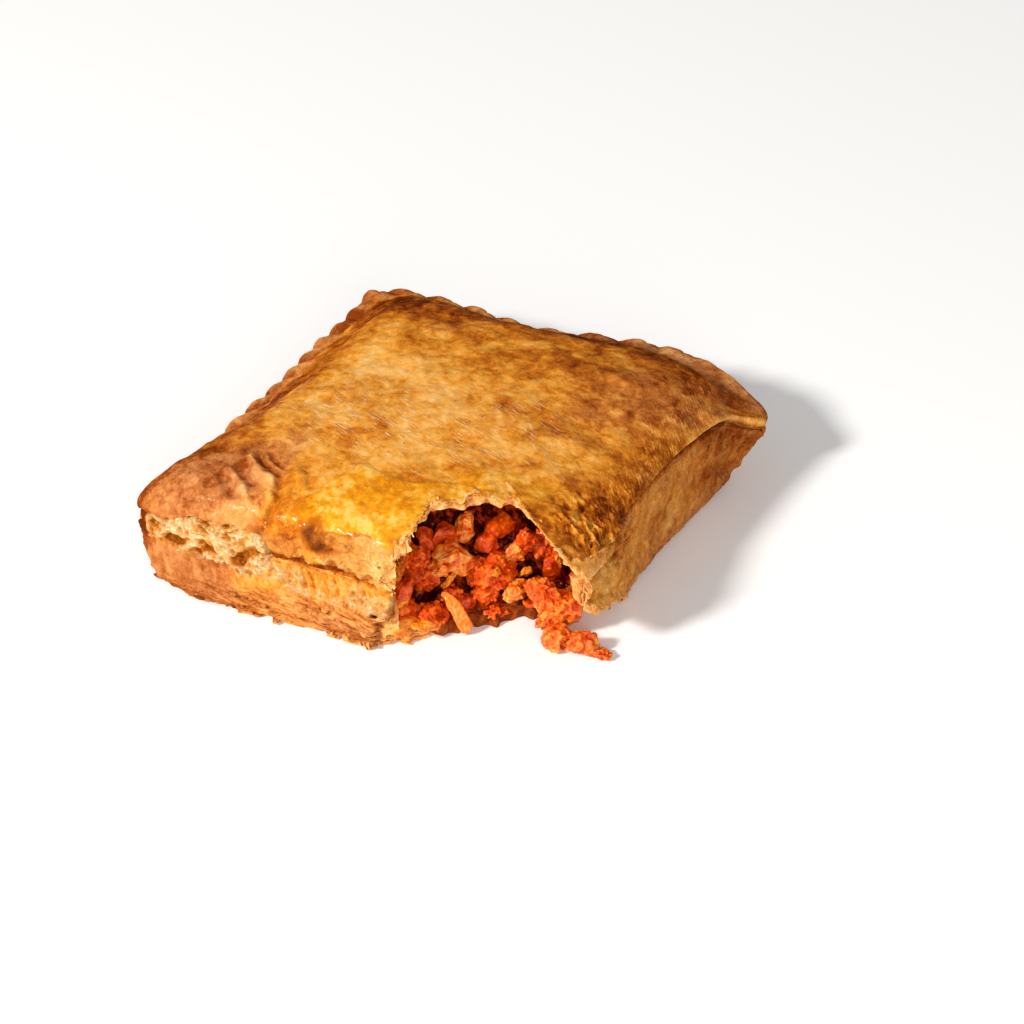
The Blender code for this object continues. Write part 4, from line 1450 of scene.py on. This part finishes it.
strewn = {  # what lies loose over a piece, where one of its masks is strong
    "crust_flakes": {
        "Mask": "flaky",
        "Per Square Metre": 60000.0,
        "Size": 0.0019,
        "Shape": (1.0, 0.5, 0.09),
        "Lie Flat": 0.9,
        "Roughness": 0.5,
        "Seed": 4,
    },
    "torn_flakes": {
        "Mask": "tip",
        "Per Square Metre": 26000.0,
        "Size": 0.0010,
        "Shape": (1.0, 0.6, 0.12),
        "Lie Flat": 0.6,
        "Roughness": 0.6,
        "Seed": 9,
    },
    "filling_grains": {
        "Mask": "high",
        "Per Square Metre": 420000.0,
        "Size": 0.0007,
        "Shape": (1.0, 0.8, 0.7),
        "Lie Flat": 0.2,
        "Roughness": 0.5,
        "Seed": 12,
    },
}


def scatter(name, host, tree, material):
    piece = bpy.data.objects.new(name, host.data.copy())
    bpy.context.scene.collection.objects.link(piece)
    modifier = piece.modifiers.new("scatter", "NODES")
    modifier.node_group = tree
    wanted = strewn[name] | {"Material": material}
    for item in tree.interface.items_tree:
        if item.in_out == "INPUT" and item.name in wanted:
            modifier[item.identifier] = wanted[item.name]
    evaluated(piece)
    print(name + ":", len(piece.data.polygons), "faces")
    return piece


class Socket:  # a shader value that takes part in plain expressions
    def __init__(self, tree, link=None):
        self.tree = tree
        self.link = link

    def node(self, kind, settings=None, values=None, out=0):
        made = self.tree.nodes.new(kind)
        for key, value in (settings or {}).items():
            if key == "stops":
                elements = made.color_ramp.elements
                while len(elements) < len(value):
                    elements.new(0.5)
                for element, (at, colour) in zip(elements, value):
                    element.position = at
                    element.color = (*colour, 1.0)
            else:
                setattr(made, key, value)
        for key, value in (values or {}).items():
            if isinstance(value, Socket):
                self.tree.links.new(value.link, made.inputs[key])
            else:
                made.inputs[key].default_value = value
        return Socket(self.tree, made.outputs[out])

    def math(self, operation, a, b=0.0):
        return self.node("ShaderNodeMath", {"operation": operation}, {0: a, 1: b})

    def __add__(self, other):
        return self.math("ADD", self, other)

    def __sub__(self, other):
        return self.math("SUBTRACT", self, other)

    def __mul__(self, other):
        return self.math("MULTIPLY", self, other)

    __radd__ = __add__
    __rmul__ = __mul__

    def __rsub__(self, other):
        return self.math("SUBTRACT", other, self)

    def above(self, low, high):  # 0 below low, 1 above high, or the other way round if high is lower
        return self.node(
            "ShaderNodeMapRange",
            {"interpolation_type": "SMOOTHSTEP"},
            {"Value": self, "From Min": low, "From Max": high, "To Min": 0.0, "To Max": 1.0},
        )

    def crest(self, width):  # thin lines where a noise passes its middle
        return self.math("ABSOLUTE", self - 0.5).above(width, 0.0)

    def ramp(self, stops):
        return self.node("ShaderNodeValToRGB", {"stops": stops}, {"Fac": self})

    def tint(self, share, other):  # this colour, turned towards another by a share
        colour = other if isinstance(other, Socket) else (*other, 1.0)
        settings = {"data_type": "RGBA", "blend_type": "MIX"}
        return self.node("ShaderNodeMix", settings, {0: share, 6: self, 7: colour}, out=2)

    def noise(self, size, detail=3.0, stretch=None, turn=(0, 0, 0), rough=0.5, warp=0.0):
        # blobs of about size mm, turned and then stretched where the scale is below 1
        place = self
        if stretch:
            place = place.node("ShaderNodeMapping", {}, {"Vector": place, "Rotation": turn})
            place = place.node("ShaderNodeMapping", {}, {"Vector": place, "Scale": stretch})
        values = {"Vector": place, "Scale": 1 / size, "Detail": detail, "Roughness": rough}
        return self.node("ShaderNodeTexNoise", {}, values | {"Distortion": warp})

    def cells(self, size):
        values = {"Vector": self, "Scale": 1 / size, "Randomness": 1.0}
        return self.node("ShaderNodeTexVoronoi", {"feature": "F1"}, values)

    def mask(self, name):
        return self.node("ShaderNodeAttribute", {"attribute_name": name}, out=2)

    def axis(self, index):
        return self.node("ShaderNodeSeparateXYZ", {}, {0: self}, out=index)

    def bump(self, strength, distance):  # distance in mm
        values = {"Height": self, "Strength": strength, "Distance": distance / 1000}
        return self.node("ShaderNodeBump", {}, values)


def newMaterial(name):
    material = bpy.data.materials.new(name)
    material.use_nodes = True
    tree = material.node_tree
    coords = Socket(tree).node("ShaderNodeTexCoord", out=3)
    place = coords.node("ShaderNodeMapping", {}, {"Vector": coords, "Scale": (1000, 1000, 1000)})
    return material, tree.nodes["Principled BSDF"], place


socketNames = {"colour": "Base Color", "roughness": "Roughness", "normal": "Normal", "coat": "Coat Weight"}


def finishMaterial(shader, **inputs):
    for key, value in inputs.items():
        socket = shader.inputs[socketNames.get(key, key)]
        if isinstance(value, Socket):
            value.tree.links.new(value.link, socket)
        else:
            socket.default_value = value


crustColours = {
    "scratchAndGlint": (0.98, 0.66, 0.34),
    "peeled": (0.76, 0.38, 0.13),
    "stainRim": (0.46, 0.11, 0.005),
    "stain": (0.17, 0.034, 0.002),
    "speck": (0.22, 0.03, 0.002),
    "saucedLeaf": (0.50, 0.085, 0.004),
}
crustRamps = {  # levels and their colours
    "baked": (
        (0.0, (0.92, 0.55, 0.19)),
        (0.20, (0.86, 0.43, 0.10)),
        (0.42, (0.76, 0.295, 0.028)),
        (0.62, (0.55, 0.155, 0.009)),
        (0.82, (0.31, 0.062, 0.003)),
        (1.0, (0.12, 0.016, 0.001)),
    ),
    "saffron": ((0.22, (0.88, 0.50, 0.10)), (0.45, (0.80, 0.32, 0.006)), (0.75, (0.60, 0.18, 0.003))),
    "rosy": (
        (0.0, (0.96, 0.60, 0.30)),
        (0.25, (0.82, 0.42, 0.19)),
        (0.55, (0.58, 0.235, 0.085)),
        (0.95, (0.30, 0.06, 0.008)),
    ),
    "solid": ((0.40, (0.60, 0.19, 0.03)), (0.55, (0.88, 0.39, 0.11)), (0.72, (0.96, 0.60, 0.27))),
    "soaked": ((0.35, (0.12, 0.008, 0.0008)), (1.0, (0.50, 0.09, 0.004))),
    "soiled": ((0.2, (0.16, 0.012, 0.001)), (0.55, (0.50, 0.09, 0.004)), (0.9, (0.74, 0.26, 0.03))),
    "bread": (
        (0.0, (1.0, 0.68, 0.34)),
        (0.16, (0.97, 0.51, 0.17)),
        (0.38, (0.82, 0.29, 0.045)),
        (0.65, (0.42, 0.11, 0.008)),
    ),
    "closed": ((0.15, (0.86, 0.40, 0.14)), (0.5, (0.62, 0.24, 0.08)), (0.9, (0.34, 0.08, 0.012))),
    "leaf": (
        (0.0, (0.96, 0.60, 0.26)),
        (0.25, (0.92, 0.44, 0.13)),
        (0.5, (0.80, 0.29, 0.04)),
        (0.85, (0.50, 0.14, 0.012)),
    ),
    "toast": ((0.3, (0.86, 0.38, 0.10)), (0.8, (0.60, 0.16, 0.016))),
}


def glazedCrust():
    material, shader, place = newMaterial("glazedCrust")
    bake, crust, layer, flaky = map(place.mask, ("bake", "crust", "layer", "flaky"))
    glaze, saffron, stain, streak = map(place.mask, ("glaze", "saffron", "stain", "streak"))
    side, ribbed, red = map(place.mask, ("side", "ribs", "rosy"))
    broad = place.noise(13, 4, rough=0.55, warp=0.6) - 0.5
    middle = place.noise(4.2, 4, rough=0.6, warp=0.6) - 0.5
    mottled = place.noise(1.7, 3, rough=0.6) - 0.5
    fine = place.noise(0.6, 3, rough=0.6) - 0.5
    swell = place.noise(12, 1) * 1.9 + place.noise(3.6, 1) * 0.9 + place.noise(1.3, 1) * 0.16
    # pale scratches in the glaze, tinted paler still as painted glints
    scratchesAndGlints = place.noise(0.5, 2, (0.13, 1, 0.6), (0, 0, 0.34)).above(0.53, 0.66)
    scratchesAndGlints = scratchesAndGlints * place.noise(4, 2).above(0.4, 0.62)
    ribs = place.noise(0.55, 2, (0.24, 1, 0.3), (0, 0, 0.85)).above(0.5, 0.66)
    slant = place.noise(3.0, 5, (1, 0.4, 1), (-0.7, 0, 0), 0.62, 0.5) - 0.5
    webs = (place.noise(2.0, 4, (1, 0.55, 1), (0, 0, 0.5), 0.62, 0.8) - 0.5) * red
    cracks = place.noise(7, 3, warp=1.4).crest(0.012) * place.noise(12, 2).above(0.48, 0.6)
    veins = place.noise(2.6, 3, warp=1.0).crest(0.03)

    # the glazed skin, from cream to nearly black, with its yellow, scratched (pale scratches with painted
    # glints), reddish and peeled places
    level = bake + (broad * 1.05 + middle * 0.95) * (1 - side * 0.6) + mottled * 0.40 + fine * 0.32
    level = level + slant * side * 0.8 + webs * 0.55 - ribs * ribbed * 0.30 - cracks * 0.14
    level = level - veins * flaky * 0.12 + veins * glaze * 0.03
    skin = level.ramp(crustRamps["baked"])
    skin = skin.tint(saffron * 0.9, (level + mottled * 0.5).ramp(crustRamps["saffron"]))
    skin = skin.tint(scratchesAndGlints * streak * 0.75, crustColours["scratchAndGlint"])
    rosy = (red * 0.8 + place.noise(16, 3).above(0.52, 0.7) * 0.3 * glaze).above(0.0, 1.0)
    skin = skin.tint(rosy * 0.78, (level * 1.05).ramp(crustRamps["rosy"]))
    peeled = place.noise(2.4, 5, (1, 0.5, 1), (0.3, 0, 0), 0.7, 0.6).above(0.5, 0.7)
    peeled = peeled * (side * 0.4 + flaky * 0.3)
    skin = skin.tint(peeled, crustColours["peeled"])
    soaked = stain + middle * 0.5
    skin = skin.tint(soaked.above(0.08, 0.5) * 0.9, crustColours["stainRim"])
    skin = skin.tint(soaked.above(0.42, 1.0), crustColours["stain"])
    specks = place.cells(4.2).above(0.09, 0.04) * place.noise(9, 2).above(0.48, 0.58)
    skin = skin.tint(specks * 0.75, crustColours["speck"])

    # the solid crust under it, the part of it low down that the sauce soaks and that is painted darker as
    # shade, and the soiled lining
    solid = (place.noise(1.6, 4) + fine * 0.5).ramp(crustRamps["solid"])
    low = place.axis(2).above(5.0, 3.5) * place.axis(0).above(16.0, 22.0)
    wet = (mottled + middle + 0.5).ramp(crustRamps["soaked"])
    skin = skin.tint(layer.above(0.15, 0.7) * 0.65, solid)
    colour = solid.tint(low * 0.92, wet).tint(crust.above(0.4, 0.9), skin)
    soiled = (mottled + middle + broad + 0.5).ramp(crustRamps["soiled"])
    colour = colour.tint(place.mask("lining").above(0.4, 0.9), soiled)

    grain = fine * 0.08 + swell + scratchesAndGlints * streak * 0.3
    grain = grain + (fine + mottled * 1.5) * flaky * 0.9 + mottled * low * 1.2 + ribs * ribbed * 0.3
    grain = grain + slant * side * 1.3 + peeled * 0.8 + webs * 1.0 + cracks * 0.2
    grain = grain + veins * (0.06 + flaky * 0.3)
    finishMaterial(
        shader,
        colour=colour,
        roughness=0.46 - stain * 0.3 + fine * 0.25 + middle * 0.3,
        coat=(glaze * 0.08 + saffron * 0.10 + stain * 0.2 + streak * 0.12) * crust,
        normal=grain.bump(1.0, 0.5),
        **{"Coat Roughness": 0.14, "Specular IOR Level": 0.0},
    )
    return material


def openCrumb():
    material, shader, place = newMaterial("openCrumb")
    crumb, hollow, flaky = map(place.mask, ("crumb", "hollow", "flaky"))
    fine = place.noise(0.6, 3, rough=0.6) - 0.5
    middle = place.noise(2.6, 5, rough=0.62, warp=0.5) - 0.5
    fibres = place.noise(1.2, 4, (0.6, 1, 1), rough=0.65, warp=1.2).crest(0.06)
    # the crumb is painted darker in its hollows: painted shade
    bread = (hollow * 1.25 + middle * 0.6 + fine * 0.35 - fibres * 0.22).ramp(crustRamps["bread"])
    upright = place.noise(1.4, 2, (1, 1, 0.25), (0, 0.4, 0)) - 0.5
    lying = place.noise(1.2, 2, (0.16, 1, 1), (0, -0.12, 0)) - 0.5
    level = place.mask("bake") + middle * 0.5 + fine * 0.3 + upright * (1 - flaky) * 0.8
    level = level + lying * flaky * 1.2 - place.mask("lift") * 0.22 + 0.10
    closed = level.ramp(crustRamps["baked"])
    colour = closed.tint(place.mask("rosy") * 0.85, level.ramp(crustRamps["closed"])).tint(crumb, bread)
    grain = fine * 0.6 + middle * 1.6 + upright * (1 - flaky) * 0.7 + lying * flaky * 1.8
    grain = grain + fibres * crumb * 0.5
    finishMaterial(
        shader,
        colour=colour,
        roughness=0.5 + fine * 0.3,
        normal=grain.bump(1.0, 0.5),
        **{"Specular IOR Level": 0.0},
    )
    return material


def tornLeaves():
    material, shader, place = newMaterial("tornLeaves")
    tip, depth = place.mask("tip"), place.mask("depth")
    middle = place.noise(2.8, 5, rough=0.65) - 0.5
    fine = place.noise(0.6, 3) - 0.5
    level = 0.32 + middle * 1.1 + fine * 0.5 - tip.above(0.6, 1.0) * 0.12
    colour = level.ramp(crustRamps["leaf"])
    colour = colour.tint(place.mask("toast") * 0.8, (level + 0.2).ramp(crustRamps["toast"]))
    sauced = (place.mask("sauced") * 1.1 + depth * 0.25 + middle * 0.9).above(0.45, 0.85)
    colour = colour.tint(sauced * 0.9, crustColours["saucedLeaf"])
    finishMaterial(
        shader,
        colour=colour,
        roughness=0.5 + fine * 0.3,
        normal=(fine + middle * 1.5).bump(0.8, 0.4),
        **{
            "Specular IOR Level": 0.0,
            "Subsurface Weight": 0.12,
            "Subsurface Radius": (0.003, 0.0015, 0.0006),
            "Subsurface Scale": 0.5,
        },
    )
    return material


fillingLooks = {  # roughness, how much sauce, how fibrous and how wet, then the colours from low to high, which paint the dents dark and the bumps pale: sauce in the dents, painted shade and painted highlight
    "stewedChicken": (
        (0.3, 0.0, 0.4, 0.4),
        ((0.22, (0.70, 0.06, 0.001)), (0.42, (1.0, 0.26, 0.02)), (0.78, (1.0, 0.56, 0.14))),
    ),
    "saucyMince": (
        (0.28, 0.0, 0.3, 0.24),
        ((0.15, (0.40, 0.018, 0.0005)), (0.5, (0.80, 0.085, 0.002)), (0.9, (0.98, 0.27, 0.02))),
    ),
    "looseChicken": (
        (0.26, -0.1, 0.3, 0.35),
        ((0.2, (0.54, 0.04, 0.001)), (0.5, (0.90, 0.15, 0.006)), (0.85, (1.0, 0.40, 0.05))),
    ),
    "stewedPepper": (
        (0.2, -0.05, 0.1, 0.36),
        ((0.15, (0.42, 0.018, 0.0005)), (0.5, (0.74, 0.075, 0.001)), (0.9, (0.95, 0.22, 0.01))),
    ),
    "softOnion": (
        (0.26, -0.2, 0.4, 0.36),
        ((0.1, (0.85, 0.16, 0.004)), (0.5, (0.95, 0.30, 0.015)), (0.95, (1.0, 0.52, 0.09))),
    ),
    # the sauce behind the lumps, dark sauce painted darker still for the shade in the gaps between them
    "sauceAndGapShade": (
        (0.2, -0.3, 0.3, 0.1),
        ((0.1, (0.05, 0.0015, 0.0002)), (0.5, (0.15, 0.004, 0.0002)), (0.9, (0.40, 0.02, 0.0005))),
    ),
    "stewedCarrot": (
        (0.28, -0.35, 0.4, 0.36),
        ((0.1, (0.78, 0.12, 0.004)), (0.5, (0.92, 0.20, 0.01)), (0.9, (0.98, 0.36, 0.04))),
    ),
}
sauceColours = {"film": (0.66, 0.06, 0.001), "fleck": (0.95, 0.50, 0.08)}


def fillingMaterial(name, amounts, tones):
    gloss, sauceAmount, fibrous, wet = amounts
    material, shader, place = newMaterial(name)
    high = place.mask("high")
    middle = place.noise(2.4, 5, rough=0.6, warp=0.4) - 0.5
    fine = place.noise(0.6, 3) - 0.5
    threads = place.noise(0.8, 3, (0.22, 1, 1), (0.3, 0.4, 0.8)) - 0.5
    # low places are painted dark and high ones pale: painted shade and highlight, over sauce in the dents
    level = high * 0.75 + middle * 1.0 + fine * 0.35 + threads * fibrous + 0.05
    sauce = (middle * 1.8 - high * 0.8 + 0.4 + sauceAmount).above(0.0, 0.35)
    colour = level.ramp(tones).tint(sauce * 0.8, sauceColours["film"])
    flecks = place.cells(1.9).above(0.16, 0.08) * place.noise(4, 2).above(0.5, 0.6)
    colour = colour.tint(flecks * 0.6, sauceColours["fleck"])
    finishMaterial(
        shader,
        colour=colour,
        roughness=gloss + fine * 0.3 + threads * 0.2,
        coat=middle * 1.2 + wet,
        normal=(fine * 0.8 + middle * 1.5 + threads * fibrous * 3.0).bump(0.9, 0.45),
        **{
            "Specular IOR Level": 0.5 * wet,
            "Coat Roughness": 0.08,
            "Subsurface Weight": 0.08,
            "Subsurface Radius": (0.004, 0.0012, 0.0005),
            "Subsurface Scale": 0.4,
        },
    )
    return material


stage = {
    "floorSize": 6.0,
    "floorColour": (0.97, 0.97, 0.97, 1),
    "floorGlow": 0.08,
    "skyColour": (1.0, 0.99, 0.98, 1),
    "skyStrength": 0.335,
    "lamps": (  # name, azimuth, elevation, distance, size, power, colour
        ("key", -27, 34, 2.4, 0.38, 61.5, (1.0, 0.975, 0.94)),
        ("front", 38, 22, 1.4, 0.7, 6.5, (1.0, 0.98, 0.96)),
    ),
    "azimuth": 27,
    "elevation": 34,
    "target": (0.01069, 0.00686, 0.0),
    "distance": 1.0,
    "lens": 131.66,
    "sensor": 36,
    "nearest": 0.01,
}


def aimed(azimuth, elevation, distance, target=(0, 0, 0)):
    a, e = math.radians(azimuth), math.radians(elevation)
    back = Vector((math.sin(a) * math.cos(e), -math.cos(a) * math.cos(e), math.sin(e)))
    turn = back.to_track_quat("Z", "Y").to_matrix().to_4x4()
    return Matrix.Translation(Vector(target) + back * distance) @ turn


def makeStage():
    bpy.ops.mesh.primitive_plane_add(size=stage["floorSize"])
    floor = bpy.context.object
    floor.name = "floor"
    material, shader = newMaterial("whiteFloor")[:2]
    glow = {"Emission Color": (1, 1, 1, 1), "Emission Strength": stage["floorGlow"]}
    dull = {"roughness": 0.9, "Specular IOR Level": 0.1}
    finishMaterial(shader, colour=stage["floorColour"], **dull, **glow)
    floor.data.materials.append(material)
    scene = bpy.context.scene
    world = bpy.data.worlds.new("softWhite")
    scene.world = world
    world.use_nodes = True
    sky = world.node_tree.nodes["Background"]
    sky.inputs["Color"].default_value = stage["skyColour"]
    sky.inputs["Strength"].default_value = stage["skyStrength"]
    for name, azimuth, elevation, distance, size, power, colour in stage["lamps"]:
        data = bpy.data.lights.new(name, "AREA")
        data.shape = "DISK"
        data.size = size
        data.energy = power
        data.color = colour
        light = bpy.data.objects.new(name, data)
        light.matrix_world = aimed(azimuth, elevation, distance)
        scene.collection.objects.link(light)
    camera = bpy.data.cameras.new("camera")
    camera.lens = stage["lens"]
    camera.sensor_width = stage["sensor"]
    camera.clip_start = stage["nearest"]
    holder = bpy.data.objects.new("camera", camera)
    holder.matrix_world = aimed(stage["azimuth"], stage["elevation"], stage["distance"], stage["target"])
    scene.collection.objects.link(holder)
    scene.camera = holder
    scene.view_settings.view_transform = "Standard"

makeStage()
glazed, crumbLook, leafLook = glazedCrust(), openCrumb(), tornLeaves()
looks = {name: fillingMaterial(name, *row) for name, row in fillingLooks.items()}
print("materials:", len(looks) + 3)

lidParts = lidSheet()
trayParts = traySheet()
pieces = {}
pieces["lid"] = makeLid(lidParts, glazed)
pieces["tray"] = makeTray(trayParts, glazed)
pieces["wall"] = makeCutWall(crumbLook)
pieces["lidLeaves"] = makeLeaves("torn_lid_leaves", lidParts, lidLeafEnds, leafLook, seed=200)
pieces["trayLeaves"] = makeLeaves("torn_tray_leaves", trayParts, trayLeafEnds, leafLook, seed=400)
pieces["sauce"] = makeSauce(looks["sauceAndGapShade"])
pieces["chicken"] = makeLumps("chicken", looks["stewedChicken"], seed=30)
pieces["pepper"] = makeLumps("pepper", looks["stewedPepper"], seed=50)
pieces["mince"] = makeLumps("mince", looks["saucyMince"], seed=70)
pieces["onion"] = makeLumps("onion", looks["softOnion"], seed=90)
pieces["strip"] = makeStrip(looks["stewedCarrot"])
pieces["hanging"] = makePile("hanging", looks["looseChicken"], seed=5, lowest=0.3)
pieces["fallen"] = makePile("fallen", looks["looseChicken"], seed=15, lowest=0.02)
print("filling: 7 pieces")

overHosts = scatterTree()
pieces["flakes"] = scatter("crust_flakes", pieces["wall"], overHosts, crumbLook)
pieces["leafFlakes"] = scatter("torn_flakes", pieces["lidLeaves"], overHosts, leafLook)
pieces["grains"] = scatter("filling_grains", pieces["mince"], overHosts, looks["saucyMince"])
print("made", len(pieces), "pieces")

for piece in pieces.values():
    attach(piece, "root")
replaced = (("lid", "pastry_lid"), ("tray", "pastry_base"), ("sauce", "filling"), ("fallen", "filling_lump"))
for key, node in replaced:
    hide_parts(node)
pale = ("wall", "lidLeaves", "trayLeaves", "flakes", "leafFlakes")
for key, piece in pieces.items():
    "glazed_crust" if key in ("lid", "tray") else "pale_crust" if key in pale else "filling"
